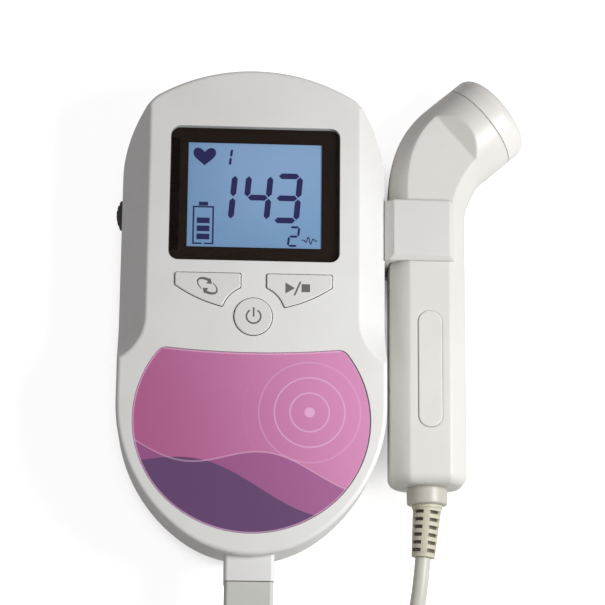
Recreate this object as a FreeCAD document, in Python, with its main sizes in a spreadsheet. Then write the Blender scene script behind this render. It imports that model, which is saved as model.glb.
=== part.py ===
import FreeCAD, Part
import math
import os
from types import SimpleNamespace

import Sketcher

# Hand-held fetal doppler: a monitor lying on its rear face, and a bent probe in its side clip.
# Frame: origin at the centre of the monitor's rear face, +Z out of the display, +Y towards the
# display's top edge, +X towards the probe. Millimetres and degrees.

SIZES = {
    # monitor casing: outline, seen from the front
    "half_width": 36.4,
    "half_length": 67.5,
    "depth": 33.0,
    "top_radius": 52.0,
    "corner_radius": 7.0,
    "shoulder_radius": 31.0,
    "shoulder_drop": 29.5,
    "lower_side_radius": 43.0,
    "bottom_radius": 31.5,
    # casing: walls and edges
    "wall": 2.0,
    "root_depth": 0.6,
    "front_height": 16.0,
    "front_edge_round": 1.2,
    "rear_edge_round": 4.0,
    "rear_lean": 8.0,
    "rear_lean_drop": 3.0,
    "seam_height": 0.4,
    "seam_depth": 0.35,
    "lip_height": 1.5,
    "lip_wall": 0.9,
    "lip_gap": 0.1,
    # thumb-grip facets down both sides of the front
    "grip_width": 7.4,
    "grip_end_y": -17.2,
    "grip_corner": 14.2,
    "grip_lean": 39.4,
    "grip_run_out": 3.0,
    # casing screws and their bosses
    "boss_radius": 3.6,
    "upper_boss_x": 25.0,
    "upper_boss_y": 50.0,
    "lower_boss_x": 20.5,
    "lower_boss_y": -46.8,
    "screw_seat_z": 4.0,
    "screw_head_radius": 2.4,
    "screw_head_height": 1.8,
    "screw_radius": 1.05,
    "screw_length": 22.0,
    "screw_gap": 0.1,
    "pilot_spare": 0.8,
    "recess_width": 0.7,
    "recess_depth": 0.6,
    "screw_point": 0.6,
    # display window, its mask and the liquid-crystal stack
    "window_x": 23.2,
    "window_low_y": 12.7,
    "window_high_y": 50.7,
    "window_corner": 2.5,
    "window_thick": 1.2,
    "window_recess": 0.3,
    "fit_gap": 0.15,
    "mask_thick": 0.3,
    "view_x": 18.4,
    "view_low_y": 16.7,
    "view_high_y": 46.5,
    "lcd_margin": 2.2,
    "lcd_thick": 2.2,
    "ledge_width": 1.4,
    "ledge_depth": 1.3,
    "backlight_margin": 0.9,
    "backlight_thick": 2.5,
    "holder_wall": 1.2,
    # keys
    "key_proud": 0.5,
    "key_gap": 0.2,
    "key_edge": 0.3,
    "key_corner": 0.5,
    "key_flange": 0.8,
    "key_flange_thick": 1.2,
    "key_flange_gap": 0.2,
    "key_travel": 0.5,
    "key_stem_radius": 1.6,
    "power_y": -3.06,
    "power_radius": 5.15,
    "side_key_top_y": 8.9,
    "side_key_in_x": 3.55,
    "side_key_out_x": 21.3,
    "side_key_ring": 8.8,
    "side_key_sweep": 37.1,
    "side_key_sweep_low_y": -1.3,
    "side_key_stem_x": 13.5,
    "side_key_stem_y": 4.8,
    "switch_side": 6.0,
    "switch_body_height": 3.1,
    "switch_stem_height": 0.45,
    "switch_stem_radius": 1.7,
    "switch_gap": 0.05,
    # label
    "label_x": 31.8,
    "label_low_y": -61.7,
    "label_top_y": -11.8,
    "label_side_centre_x": 2.1,
    "label_base_extra": 3.3,
    "label_top_radius": 241.0,
    "label_corner": 3.0,
    "label_recess": 1.0,
    "label_thick": 0.6,
    # main board, its pegs and screws
    "board_drop": 12.4,
    "board_thick": 1.6,
    "board_x": 28.0,
    "board_low_y": -40.0,
    "board_high_y": 46.0,
    "board_step_x": 20.8,
    "board_step_y": 50.0,
    "board_tongue_x": 8.0,
    "board_tongue_y": 62.0,
    "chip_side": 12.0,
    "chip_height": 1.2,
    "chip_x": 8.0,
    "chip_y": 6.0,
    "board_ear_low_y": 22.0,
    "board_ear_high_y": 36.0,
    "board_ear_gap": 0.4,
    "board_hole_gap": 0.25,
    "peg_radius": 2.2,
    "peg_x": 25.3,
    "peg_upper_y": 43.0,
    "peg_lower_y": -34.0,
    "board_screw_radius": 0.85,
    "board_screw_head_radius": 2.0,
    "board_screw_head_height": 1.4,
    "board_screw_length": 6.0,
    # loudness wheel and the control that it turns
    "wheel_radius": 7.25,
    "wheel_out": 1.8,
    "wheel_y": 29.0,
    "wheel_drop": 17.4,
    "wheel_thick": 3.0,
    "wheel_gap": 0.4,
    "wheel_notches": 30,
    "wheel_notch_radius": 0.35,
    "wheel_edge": 0.3,
    "spindle_radius": 1.5,
    "spindle_gap": 0.05,
    "spindle_head_radius": 2.3,
    "spindle_head_height": 0.7,
    "spindle_head_gap": 0.25,
    "pot_half_width": 4.5,
    "pot_reach": 6.0,
    # earphone jack in the top edge
    "jack_x": 3.2,
    "jack_height": 7.2,
    "jack_length": 13.0,
    "jack_nose_radius": 3.0,
    "jack_bore_radius": 1.8,
    "jack_bore_length": 14.0,
    "jack_back": 0.3,
    "jack_nose_back": 0.3,
    # hood over the probe socket, the socket and the plug
    "hood_x": 6.65,
    "hood_drop": 3.0,
    "hood_height": 12.0,
    "hood_out": 6.4,
    "hood_in": 5.5,
    "hood_edge": 1.0,
    "socket_x": 5.2,
    "socket_drop": 4.5,
    "socket_height": 9.0,
    "socket_length": 17.0,
    "socket_wall": 0.6,
    "socket_depth": 10.0,
    "socket_back": 1.2,
    "socket_flange": 1.8,
    "socket_flange_thick": 1.5,
    "plug_gap": 0.2,
    "plug_length": 14.0,
    "plug_edge": 1.0,
    "plug_play": 0.1,
    "plug_nose_back": 0.3,
    "plug_relief_radius": 3.9,
    "plug_relief_tip_radius": 3.1,
    "plug_relief_length": 10.0,
    "plug_relief_straight": 2.0,
    # battery bay, cover, cells and contacts
    "cell_radius": 7.1,
    "cell_length": 50.5,
    "cell_nub_radius": 2.7,
    "cell_nub_length": 1.2,
    "cell_pitch": 15.0,
    "cell_gap": 0.35,
    "bay_y": -23.0,
    "bay_wall": 1.4,
    "bay_ledge": 1.1,
    "bay_corner": 2.0,
    "contact_thick": 0.4,
    "contact_side": 10.0,
    "cell_edge": 0.5,
    "spring_length": 4.2,
    "spring_radius": 3.6,
    "spring_tip_radius": 2.4,
    "spring_turns": 3,
    "spring_wave": 0.5,
    "cover_gap": 0.2,
    "tab_x": 14.0,
    "tab_half_width": 3.0,
    "tab_thick": 1.2,
    "tab_reach": 1.6,
    "tab_root": 2.6,
    "tab_slot_height": 2.4,
    "tab_turn_radius": 3.45,
    "latch_half_width": 4.0,
    "latch_height": 3.0,
    "latch_thick": 1.0,
    "latch_gap": 0.6,
    "scoop_half_width": 5.0,
    "scoop_radius": 2.6,
    "scoop_depth": 1.0,
    "groove_half_width": 7.0,
    "groove_width": 0.8,
    "groove_depth": 0.4,
    "groove_pitch": 2.2,
    "groove_first": 1.6,
    "groove_count": 4,
    # speaker behind the rear wall
    "speaker_y": 32.0,
    "speaker_radius": 18.0,
    "speaker_seat_height": 4.0,
    "gasket_width": 3.0,
    "gasket_thick": 0.6,
    "basket_thick": 0.8,
    "basket_height": 6.6,
    "basket_neck_radius": 8.6,
    "cone_thick": 0.4,
    "cone_fold": 0.6,
    "cone_depth": 4.6,
    "dust_cap_radius": 5.0,
    "dust_cap_height": 1.2,
    "magnet_height": 3.2,
    "magnet_radius": 8.0,
    "magnet_edge": 0.5,
    "grille_radius": 14.0,
    "grille_slot": 1.6,
    "grille_end_radius": 0.9,
    "grille_pitch": 3.4,
    # probe clip on the right side
    "clip_low_y": 15.7,
    "clip_high_y": 32.8,
    "clip_front_thick": 1.8,
    "clip_gap": 0.3,
    "clip_bevel": 2.3,
    "clip_reach": 6.65,
    "clip_tip_bevel": 1.2,
    "clip_inner_bevel": 3.0,
    "clip_end_bevel": 1.3,
    "clip_screw_z": 11.0,
    "clip_pilot_depth": 1.35,
    "clip_screw_spread": 10.0,
    "clip_screw_radius": 0.9,
    "clip_screw_length": 3.2,
    "clip_screw_head_radius": 1.9,
    "clip_screw_head_height": 1.4,
    # probe: handle
    "probe_clear": 1.8,
    "probe_z": 15.0,
    "handle_x": 10.65,
    "handle_z": 10.0,
    "handle_flat": 5.55,
    "handle_side": 4.5,
    "handle_bottom_y": -46.2,
    "handle_top_y": 18.0,
    "bend_y": 28.0,
    "handle_corner": 9.0,
    "handle_bow": 60.0,
    "handle_bottom_round": 3.0,
    "bend_low_aside": 0.25,
    "bend_low_y": 35.3,
    "bend_low_tilt": 17.0,
    "bend_low_half": 11.4,
    "bend_low_flat": 6.6,
    "bend_low_corner": 9.9,
    "bend_low_bow": 29.0,
    "bend_high_aside": 2.25,
    "bend_high_y": 43.75,
    "bend_high_tilt": 34.0,
    "bend_high_half": 12.65,
    "bend_high_flat": 8.0,
    "bend_high_corner": 12.0,
    "bend_high_bow": 15.5,
    "section_flat_step": 0.384,
    "section_side_step": 0.445,
    "probe_wall": 1.8,
    # probe: bend and head
    "head_angle": 41.0,
    "head_aside": 15.0,
    "head_y": 58.15,
    "head_radius": 13.1,
    "head_length": 9.75,
    "head_slope": 37.0,
    # probe: cap, crystals and backing
    "cap_line": 0.2,
    "cap_line_depth": 0.4,
    "cap_wall_length": 4.2,
    "cap_face": 7.2,
    "cap_dome": 8.4,
    "cap_face_radius": 9.8,
    "cap_edge": 3.3,
    "cap_wall": 1.6,
    "cap_spigot_length": 3.0,
    "cap_spigot_wall": 1.1,
    "cap_spigot_gap": 0.2,
    "crystal_radius": 9.0,
    "crystal_thick": 1.0,
    "crystal_gap": 1.0,
    "backing_gap": 0.2,
    # probe: board, screws, badge
    "probe_board_low_y": -36.0,
    "probe_board_high_y": 16.0,
    "probe_board_thick": 1.2,
    "probe_board_gap": 0.25,
    "probe_boss_radius": 2.8,
    "probe_boss_low_y": -32.0,
    "probe_boss_high_y": 10.0,
    "probe_screw_radius": 0.9,
    "probe_screw_head_radius": 1.9,
    "probe_screw_head_height": 1.3,
    "probe_screw_seat": 2.2,
    "probe_screw_length": 12.0,
    "badge_x": 3.25,
    "badge_low_y": -30.85,
    "badge_high_y": 1.6,
    "badge_thick": 0.9,
    "badge_proud": 0.45,
    "badge_gap": 0.05,
    "badge_edge": 0.3,
    "badge_corner": 3.1,
    # probe: collar, strain relief and cord
    "collar_radius": 5.6,
    "collar_length": 4.7,
    "collar_neck_radius": 4.0,
    "collar_neck_gap": 0.05,
    "collar_flange_radius": 5.4,
    "collar_flange_thick": 1.2,
    "collar_edge": 0.6,
    "relief_radius": 3.95,
    "relief_tip_radius": 3.2,
    "relief_length": 13.8,
    "relief_lean": 5.0,
    "relief_seat": 0.5,
    "relief_seat_length": 0.9,
    "relief_seat_radius": 4.2,
    "relief_slots": 6,
    "relief_slot": 0.95,
    "relief_pitch": 2.1,
    "relief_first": 1.15,
    "relief_rib": 1.8,
    "relief_core": 2.7,
    "relief_cut_radius": 4.6,
    "cord_radius": 2.15,
    # cord coil
    "coil_x": 19.0,
    "coil_y": -138.0,
    "coil_pitch": 4.4,
    "coil_turn_in": 17.3,
    "coil_turn_out": 26.7,
    "coil_layers": 4,
    "coil_rest_z": 0.6,
    "coil_edge": 1.6,
}

DOC = FreeCAD.newDocument("FetalDoppler")
SHEET = DOC.addObject("Spreadsheet::Sheet", "Sizes")
PARTS = {}


class Size:
    """A size with the sheet expression that gives it, so that both stay together in sums."""

    def __init__(self, value, text):
        self.value = value
        self.text = text

    def __add__(self, other):
        other = size_of(other)
        return Size(self.value + other.value, f"({self.text} + {other.text})")

    def __sub__(self, other):
        other = size_of(other)
        return Size(self.value - other.value, f"({self.text} - {other.text})")

    def __mul__(self, other):
        other = size_of(other)
        return Size(self.value * other.value, f"({self.text} * {other.text})")

    def __truediv__(self, other):
        other = size_of(other)
        return Size(self.value / other.value, f"({self.text} / {other.text})")

    def __radd__(self, other):
        return size_of(other) + self

    def __rsub__(self, other):
        return size_of(other) - self

    def __rmul__(self, other):
        return size_of(other) * self

    def __rtruediv__(self, other):
        return size_of(other) / self

    def __neg__(self):
        return Size(-self.value, f"(-{self.text})")


def size_of(number):
    """A plain number as a Size; a Size stays as it is."""
    if isinstance(number, Size):
        return number
    return Size(float(number), f"({float(number):.9g})")


def root(size):
    return Size(math.sqrt(size.value), f"sqrt({size.text})")


def sine(angle):
    return Size(math.sin(math.radians(angle.value)), f"sin({angle.text})")


def cosine(angle):
    return Size(math.cos(math.radians(angle.value)), f"cos({angle.text})")


def tangent(angle):
    return Size(math.tan(math.radians(angle.value)), f"tan({angle.text})")


def fill_sheet():
    """Writes every driving size to the sheet and returns them by name."""
    for row, (name, value) in enumerate(SIZES.items(), start=1):
        SHEET.set(f"A{row}", name)
        SHEET.set(f"B{row}", str(value))
        SHEET.setAlias(f"B{row}", name)
    DOC.recompute()
    return SimpleNamespace(**{name: Size(value, f"Sizes.{name}") for name, value in SIZES.items()})


S = fill_sheet()
SHOULDER_Y = S.half_length - S.shoulder_drop
GRIP_X = S.half_width - S.grip_width
PROBE_X = S.half_width + (S.handle_x + S.probe_clear)
CLIP_TIP_X = PROBE_X + S.clip_reach
BEND_LOW_X = PROBE_X + S.bend_low_aside
BEND_HIGH_X = PROBE_X + S.bend_high_aside
HEAD_X = PROBE_X + S.head_aside


# ---------------------------------------------------------------- drawing helpers

def bind(thing, path, size):
    """Ties a property of a document object to the sheet."""
    thing.setExpression(path, size_of(size).text)


def origin_plane(body, role):
    return next(item for item in body.Origin.OriginFeatures if item.Role == role)


def new_body(name):
    return DOC.addObject("PartDesign::Body", name)


def sketch_on(body, name, role="XY_Plane", lift=0):
    """A sketch parallel to one of the body's origin planes, lifted along that plane's normal."""
    sketch = body.newObject("Sketcher::SketchObject", name)
    sketch.AttachmentSupport = [(origin_plane(body, role), "")]
    sketch.MapMode = "FlatFace"
    bind(sketch, "AttachmentOffset.Base.z", lift)
    return sketch


def pin_point(sketch, edge, end, point):
    """Holds one end of an edge at a point given by sizes."""
    for kind, size in zip(("DistanceX", "DistanceY"), point):
        index = sketch.addConstraint(Sketcher.Constraint(kind, -1, 1, edge, end, size_of(size).value))
        bind(sketch, f"Constraints[{index}]", size)


def radius_of(sketch, edge, size):
    index = sketch.addConstraint(Sketcher.Constraint("Radius", edge, size_of(size).value))
    bind(sketch, f"Constraints[{index}]", size)


def arc_between(start, end, radius):
    """An arc from start to end; a positive radius turns left, a negative one turns right."""
    chord = end - start
    side = FreeCAD.Vector(-chord.y, chord.x, 0).normalize()
    rise = math.sqrt(max(radius * radius - chord.Length ** 2 / 4, 0))
    centre = (start + end) * 0.5 + side * math.copysign(rise, radius)
    first, last = (start, end) if radius > 0 else (end, start)
    angles = [math.atan2(tip.y - centre.y, tip.x - centre.x) for tip in (first, last)]
    circle = Part.Circle(centre, FreeCAD.Vector(0, 0, 1), abs(radius))
    return Part.ArcOfCircle(circle, angles[0], angles[1])


def outline(sketch, points, arcs=None):
    """A closed outline. arcs gives, for the edge after a point, its radius: left turn positive."""
    arcs = arcs or {}
    corners = [FreeCAD.Vector(size_of(x).value, size_of(y).value, 0) for x, y in points]
    first_edge = sketch.GeometryCount
    count = len(points)
    ends = []
    for place, start in enumerate(corners):
        end = corners[(place + 1) % count]
        if place in arcs:
            radius = size_of(arcs[place])
            edge = sketch.addGeometry(arc_between(start, end, radius.value))
            ends.append((1, 2) if radius.value > 0 else (2, 1))
        else:
            edge = sketch.addGeometry(Part.LineSegment(start, end))
            ends.append((1, 2))
    for place, point in enumerate(points):
        before = (place - 1) % count
        here = first_edge + place
        sketch.addConstraint(Sketcher.Constraint(
            "Coincident", first_edge + before, ends[before][1], here, ends[place][0]))
        pin_point(sketch, here, ends[place][0], point)
    for place, radius in arcs.items():
        radius = size_of(radius)
        radius_of(sketch, first_edge + place, radius if radius.value > 0 else -radius)
    return sketch


def rounded_rectangle(sketch, x0, x1, y0, y1, radius):
    """A rectangle with four equal round corners."""
    points = [
        (x0 + radius, y0), (x1 - radius, y0), (x1, y0 + radius), (x1, y1 - radius),
        (x1 - radius, y1), (x0 + radius, y1), (x0, y1 - radius), (x0, y0 + radius),
    ]
    return outline(sketch, points, {1: radius, 3: radius, 5: radius, 7: radius})


def disc(sketch, x, y, radius):
    """A full circle."""
    centre = FreeCAD.Vector(size_of(x).value, size_of(y).value, 0)
    circle = Part.Circle(centre, FreeCAD.Vector(0, 0, 1), size_of(radius).value)
    edge = sketch.addGeometry(circle)
    pin_point(sketch, edge, 3, (x, y))
    radius_of(sketch, edge, radius)
    return sketch


def pad(body, sketch, length):
    feature = body.newObject("PartDesign::Pad", "Pad")
    feature.Profile = sketch
    bind(feature, "Length", length)
    DOC.recompute()
    return feature


def pocket(body, sketch, depth, downward=True, lean=None):
    """Cuts a sketch's outline into the body: along minus its normal, or along it."""
    before = body.Shape.Volume
    feature = body.newObject("PartDesign::Pocket", "Pocket")
    feature.Profile = sketch
    feature.Reversed = not downward
    bind(feature, "Length", depth)
    if lean is not None:
        bind(feature, "TaperAngle", -lean)
    DOC.recompute()
    if not body.Shape.Volume < before:
        raise ValueError(f"{body.Name}: pocket {sketch.Name} cuts nothing")
    return feature


def mirror(body, feature, role="YZ_Plane"):
    """Repeats a feature on the other side of an origin plane."""
    before = body.Shape.Volume
    copy = body.newObject("PartDesign::Mirrored", "Mirrored")
    copy.Originals = [feature]
    copy.MirrorPlane = (origin_plane(body, role), [""])
    body.Tip = copy
    DOC.recompute()
    if abs(body.Shape.Volume - before) < 1e-6:
        raise ValueError(f"{body.Name}: mirror of {feature.Name} changes nothing")
    return copy


def edge_names(shape, wanted):
    return [f"Edge{place}" for place, edge in enumerate(shape.Edges, start=1) if wanted(edge)]


def at_height(height):
    """Picks the edges that lie in the level plane at this height."""
    level = size_of(height).value

    def wanted(edge):
        bounds = edge.BoundBox
        return abs(bounds.ZMin - level) < 1e-4 and abs(bounds.ZMax - level) < 1e-4
    return wanted


def steep(above_y):
    """Picks the upright and leaning edges beyond a distance along Y."""
    limit = size_of(above_y).value

    def wanted(edge):
        bounds = edge.BoundBox
        return bounds.ZLength > 2 * max(bounds.XLength, bounds.YLength) and bounds.YMin > limit + 1e-4
    return wanted


def upright(above_y):
    """Picks the upright edges beyond a distance along Y."""
    limit = size_of(above_y).value

    def wanted(edge):
        bounds = edge.BoundBox
        return bounds.XLength < 1e-4 and bounds.YLength < 1e-4 and bounds.YMin > limit + 1e-4
    return wanted


def bevel_edges(body, wanted, width):
    """Cuts a flat bevel on the edges of a body that a test picks."""
    base = body.Tip
    names = edge_names(base.Shape, wanted)
    feature = body.newObject("PartDesign::Chamfer", "Chamfer")
    feature.Base = (base, names)
    bind(feature, "Size", width)
    DOC.recompute()
    return feature


def round_edges(body, wanted, radius):
    """Rounds the edges of a body that a test picks."""
    base = body.Tip
    names = edge_names(base.Shape, wanted)
    feature = body.newObject("PartDesign::Fillet", "Fillet")
    feature.Base = (base, names)
    bind(feature, "Radius", radius)
    DOC.recompute()
    return feature


# ---------------------------------------------------------------- monitor casing

def casing_outline(sketch, inset=0):
    """The casing seen from the front, moved inwards by inset: six arcs and two straight sides."""
    side = S.half_width - inset
    crown = S.top_radius - inset
    shoulder = S.shoulder_radius - inset
    flank = S.lower_side_radius - inset
    base = S.bottom_radius - inset
    crown_y = S.half_length - S.top_radius
    shoulder_x = S.half_width - S.shoulder_radius
    base_y = S.bottom_radius - S.half_length
    flank_x = S.lower_side_radius - S.half_width

    # the crown and shoulder arcs cross at the top corner
    rise = SHOULDER_Y - crown_y
    span = root(shoulder_x * shoulder_x + rise * rise)
    along = (span * span + crown * crown - shoulder * shoulder) / (2 * span)
    across = root(crown * crown - along * along)
    corner_x = (along * shoulder_x + across * rise) / span
    corner_y = crown_y + (along * rise - across * shoulder_x) / span

    # the flank arc leaves the side and runs into the bottom arc without a kink
    reach = S.lower_side_radius - S.bottom_radius
    drop = root(reach * reach - flank_x * flank_x)
    flank_y = base_y + drop
    foot_x = base * flank_x / reach
    foot_y = base_y - base * drop / reach

    points = [
        (side, flank_y), (side, SHOULDER_Y), (corner_x, corner_y), (-corner_x, corner_y),
        (-side, SHOULDER_Y), (-side, flank_y), (-foot_x, foot_y), (foot_x, foot_y),
    ]
    return outline(sketch, points, {1: shoulder, 2: crown, 3: shoulder, 5: flank, 6: base, 7: flank})


def casing_form(name, inset, sharp_front=False):
    """The casing's solid form, moved inwards by inset on every side; its rear leans inwards."""
    body = new_body(name)
    lean_z = S.depth - S.front_height - S.rear_lean_drop
    sketch = casing_outline(sketch_on(body, "Outline", lift=lean_z), inset)
    form = pad(body, sketch, S.depth - inset - lean_z)
    form.SideType = "Two sides"
    bind(form, "Length2", lean_z - inset)
    bind(form, "TaperAngle2", -S.rear_lean)
    DOC.recompute()
    round_edges(body, steep(above_y=SHOULDER_Y), S.corner_radius - inset)
    shift = inset * tangent((90 - S.grip_lean) / 2)
    grip_x = GRIP_X - shift
    grip_y = S.grip_end_y - shift
    corner = S.grip_corner + shift
    far_x = 2 * S.half_width
    top_y = 2 * S.half_length
    points = [
        (grip_x + corner, grip_y), (far_x, grip_y), (far_x, top_y), (grip_x, top_y),
        (grip_x, grip_y + corner),
    ]
    grip = outline(sketch_on(body, "Grip", lift=S.depth - inset), points, {4: corner})
    depth = (S.half_width - GRIP_X) / tangent(S.grip_lean) + S.grip_run_out
    mirror(body, pocket(body, grip, depth, lean=S.grip_lean))
    round_edges(body, at_height(inset), S.rear_edge_round - inset)
    if not sharp_front:
        round_edges(body, at_height(S.depth - inset), S.front_edge_round)
    return body


# ---------------------------------------------------------------- solids and joins

def box(name, x, y, z):
    """A box; x, y and z are pairs of a low and a high side."""
    item = DOC.addObject("Part::Box", name)
    for prop, axis, (low, high) in zip(("Length", "Width", "Height"), "xyz", (x, y, z)):
        bind(item, prop, size_of(high) - low)
        bind(item, f".Placement.Base.{axis}", low)
    return item


DIRECTIONS = {
    "x": FreeCAD.Vector(1, 0, 0),
    "-x": FreeCAD.Vector(-1, 0, 0),
    "y": FreeCAD.Vector(0, 1, 0),
    "-y": FreeCAD.Vector(0, -1, 0),
    "z": FreeCAD.Vector(0, 0, 1),
    "-z": FreeCAD.Vector(0, 0, -1),
}


def orient(item, foot, along):
    """Stands an item that was drawn along +Z at a foot point, turned to another direction."""
    if isinstance(along, str):
        along = DIRECTIONS[along]
    item.Placement = FreeCAD.Placement(FreeCAD.Vector(), FreeCAD.Rotation(DIRECTIONS["z"], along))
    for axis, size in zip("xyz", foot):
        bind(item, f".Placement.Base.{axis}", size)
    return item


def rod(name, radius, foot, length, along="z"):
    """A cylinder that starts at a foot point and runs along a direction."""
    item = DOC.addObject("Part::Cylinder", name)
    bind(item, "Radius", radius)
    bind(item, "Height", length)
    return orient(item, foot, along)


def prism(name, draw, low, high, role="XY_Plane"):
    """A body padded from the outline that draw makes, between two heights over its plane."""
    body = new_body(name)
    sketch = sketch_on(body, "Outline", role, low)
    draw(sketch)
    pad(body, sketch, size_of(high) - low)
    return body


def turned(name, profile, foot=(0, 0, 0), along="z", arcs=None):
    """A body turned about its own Z from a profile of (radius, height) points."""
    body = new_body(name)
    sketch = outline(sketch_on(body, "Profile", "XZ_Plane"), profile, arcs)
    feature = body.newObject("PartDesign::Revolution", "Revolution")
    feature.Profile = sketch
    feature.ReferenceAxis = (sketch, ["V_Axis"])
    feature.Angle = 360
    DOC.recompute()
    return orient(body, foot, along)


def merge(name, *items):
    item = DOC.addObject("Part::MultiFuse", name)
    item.Shapes = list(items)
    DOC.recompute()
    return item


def group(name, *items):
    """Several separate solids kept as one item."""
    item = DOC.addObject("Part::Compound", name)
    item.Links = list(items)
    DOC.recompute()
    return item


def trim(name, base, *tools):
    """The base less the tools."""
    DOC.recompute()
    before = base.Shape.Volume
    item = DOC.addObject("Part::Cut", name)
    item.Base = base
    item.Tool = tools[0] if len(tools) == 1 else merge(f"{name}Tools", *tools)
    DOC.recompute()
    if not item.Shape.Volume < before:
        raise ValueError(f"{name}: the tools cut nothing")
    return item


def overlap(name, *items):
    item = DOC.addObject("Part::MultiCommon", name)
    item.Shapes = list(items)
    DOC.recompute()
    return item


def flip(name, item):
    """The item's mirror image in the centre plane x = 0."""
    image = DOC.addObject("Part::Mirroring", name)
    image.Source = item
    image.Normal = FreeCAD.Vector(1, 0, 0)
    DOC.recompute()
    return image


def keep(node, item):
    """Names an item as one of the finished sub-parts."""
    DOC.recompute()
    item.Label = node
    PARTS[node] = item
    return item


# ---------------------------------------------------------------- shared places

FAR = 4 * S.half_length
PAST = S.wall
FRONT_INNER = S.depth - S.wall
PARTING_Z = S.depth - S.front_height
BOARD_LOW = S.depth - S.board_drop
BOARD_TOP = BOARD_LOW + S.board_thick
WINDOW_TOP = S.depth - S.window_recess
MASK_TOP = WINDOW_TOP - S.window_thick
LCD_TOP = MASK_TOP - S.mask_thick
LCD_LOW = LCD_TOP - S.lcd_thick
LCD_X = S.view_x + S.lcd_margin
LCD_Y = (S.view_low_y - S.lcd_margin, S.view_high_y + S.lcd_margin)
WHEEL_X = S.wheel_radius - S.half_width - S.wheel_out
WHEEL_LOW = S.depth - S.wheel_drop
WHEEL_TOP = WHEEL_LOW + S.wheel_thick
CELL_Z = S.wall + S.cell_gap + S.cell_radius
BAY_X = (S.cell_length + 2 * S.contact_thick + S.spring_length) / 2
BAY_HALF_Y = S.cell_pitch / 2 + S.cell_radius + S.cell_gap
BAY_Y = (S.bay_y - BAY_HALF_Y, S.bay_y + BAY_HALF_Y)
BAY_TOP = CELL_Z + S.cell_radius + S.cell_gap
DOOR_X = BAY_X + S.bay_ledge
DOOR_Y = (BAY_Y[0] - S.bay_ledge, BAY_Y[1] + S.bay_ledge)
LABEL_FLOOR = S.depth - S.label_recess
HOOD_END_Y = -S.half_length - S.hood_out
HOOD_HIGH = S.depth - S.hood_drop
HOOD_LOW = HOOD_HIGH - S.hood_height
SOCKET_HIGH = S.depth - S.socket_drop
SOCKET_LOW = SOCKET_HIGH - S.socket_height
CLIP_CAVITY = S.handle_z + S.clip_gap
CLIP_LOW = S.probe_z - CLIP_CAVITY - S.clip_front_thick
CLIP_HIGH = S.probe_z + CLIP_CAVITY + S.clip_front_thick
HEAD_DIRECTION = FreeCAD.Vector(
    cosine(S.head_angle).value, sine(S.head_angle).value, 0)
HANDLE_TOP_Z = S.probe_z + S.handle_z
KEY_FLANGE_TOP = FRONT_INNER - S.key_flange_gap
KEY_FLANGE_LOW = KEY_FLANGE_TOP - S.key_flange_thick
SWITCH_TOP = BOARD_TOP + S.switch_body_height + S.switch_stem_height
CASING_BOSSES = [
    (side * x, y)
    for side in (1, -1)
    for x, y in ((S.upper_boss_x, S.upper_boss_y), (S.lower_boss_x, S.lower_boss_y))
]
PEGS = [(side * S.peg_x, y) for side in (1, -1) for y in (S.peg_upper_y, S.peg_lower_y)]


def rods(name, radius, spots, low, high):
    """Upright cylinders of one radius at several spots."""
    return [
        rod(f"{name}{number}", radius, (x, y, low), size_of(high) - low)
        for number, (x, y) in enumerate(spots, start=1)
    ]


# ---------------------------------------------------------------- outlines used more than once

def window_outline(sketch, spread=0):
    """The display window, widened by spread."""
    return rounded_rectangle(
        sketch, -S.window_x - spread, S.window_x + spread,
        S.window_low_y - spread, S.window_high_y + spread, S.window_corner + spread)


def side_key_outline(sketch, spread=0):
    """The right-hand key: straight top and ends, hollow round the power key, bowed below."""
    ring = S.side_key_ring - spread
    sweep = S.side_key_sweep + spread
    sweep_y = S.side_key_sweep_low_y + S.side_key_sweep
    inner_x = S.side_key_in_x - spread
    outer_x = S.side_key_out_x + spread
    top_y = S.side_key_top_y + spread
    hollow_y = S.power_y + root(ring * ring - inner_x * inner_x)
    tip_y = (ring * ring - sweep * sweep + sweep_y * sweep_y - S.power_y * S.power_y) / (
        2 * (sweep_y - S.power_y))
    tip_x = root(ring * ring - (tip_y - S.power_y) * (tip_y - S.power_y))
    low_y = sweep_y - root(sweep * sweep - outer_x * outer_x)
    points = [(inner_x, top_y), (inner_x, hollow_y), (tip_x, tip_y), (outer_x, low_y), (outer_x, top_y)]
    return outline(sketch, points, {1: -ring, 2: sweep})


LABEL_SIDE_RADIUS = S.label_x - S.label_side_centre_x
LABEL_BASE_RADIUS = LABEL_SIDE_RADIUS + S.label_base_extra
LABEL_MIDDLE_Y = S.label_low_y + LABEL_BASE_RADIUS


def label_outline(sketch, spread=0):
    """The label: a hollow top edge over a round bowl, widened by spread."""
    side = LABEL_SIDE_RADIUS + spread
    base = LABEL_BASE_RADIUS + spread
    side_x = S.label_side_centre_x
    base_y = LABEL_MIDDLE_Y
    reach = S.label_base_extra
    drop = root(reach * reach - side_x * side_x)
    side_y = base_y - drop
    foot_x = base * side_x / reach
    foot_y = base_y - base * drop / reach
    top_y = S.label_top_y + spread
    top_x = side_x + root(side * side - (top_y - side_y) * (top_y - side_y))
    points = [(foot_x, foot_y), (top_x, top_y), (-top_x, top_y), (-foot_x, foot_y)]
    return outline(sketch, points, {0: side, 1: -S.label_top_radius, 2: side, 3: base})


def all_upright(edge):
    bounds = edge.BoundBox
    return bounds.XLength < 1e-4 and bounds.YLength < 1e-4


def door_outline(sketch, shrink=0):
    """The battery door opening in the rear wall, made smaller by shrink."""
    return rounded_rectangle(
        sketch, shrink - DOOR_X, DOOR_X - shrink, DOOR_Y[0] + shrink, DOOR_Y[1] - shrink, S.bay_corner)


# ---------------------------------------------------------------- front shell

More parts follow.
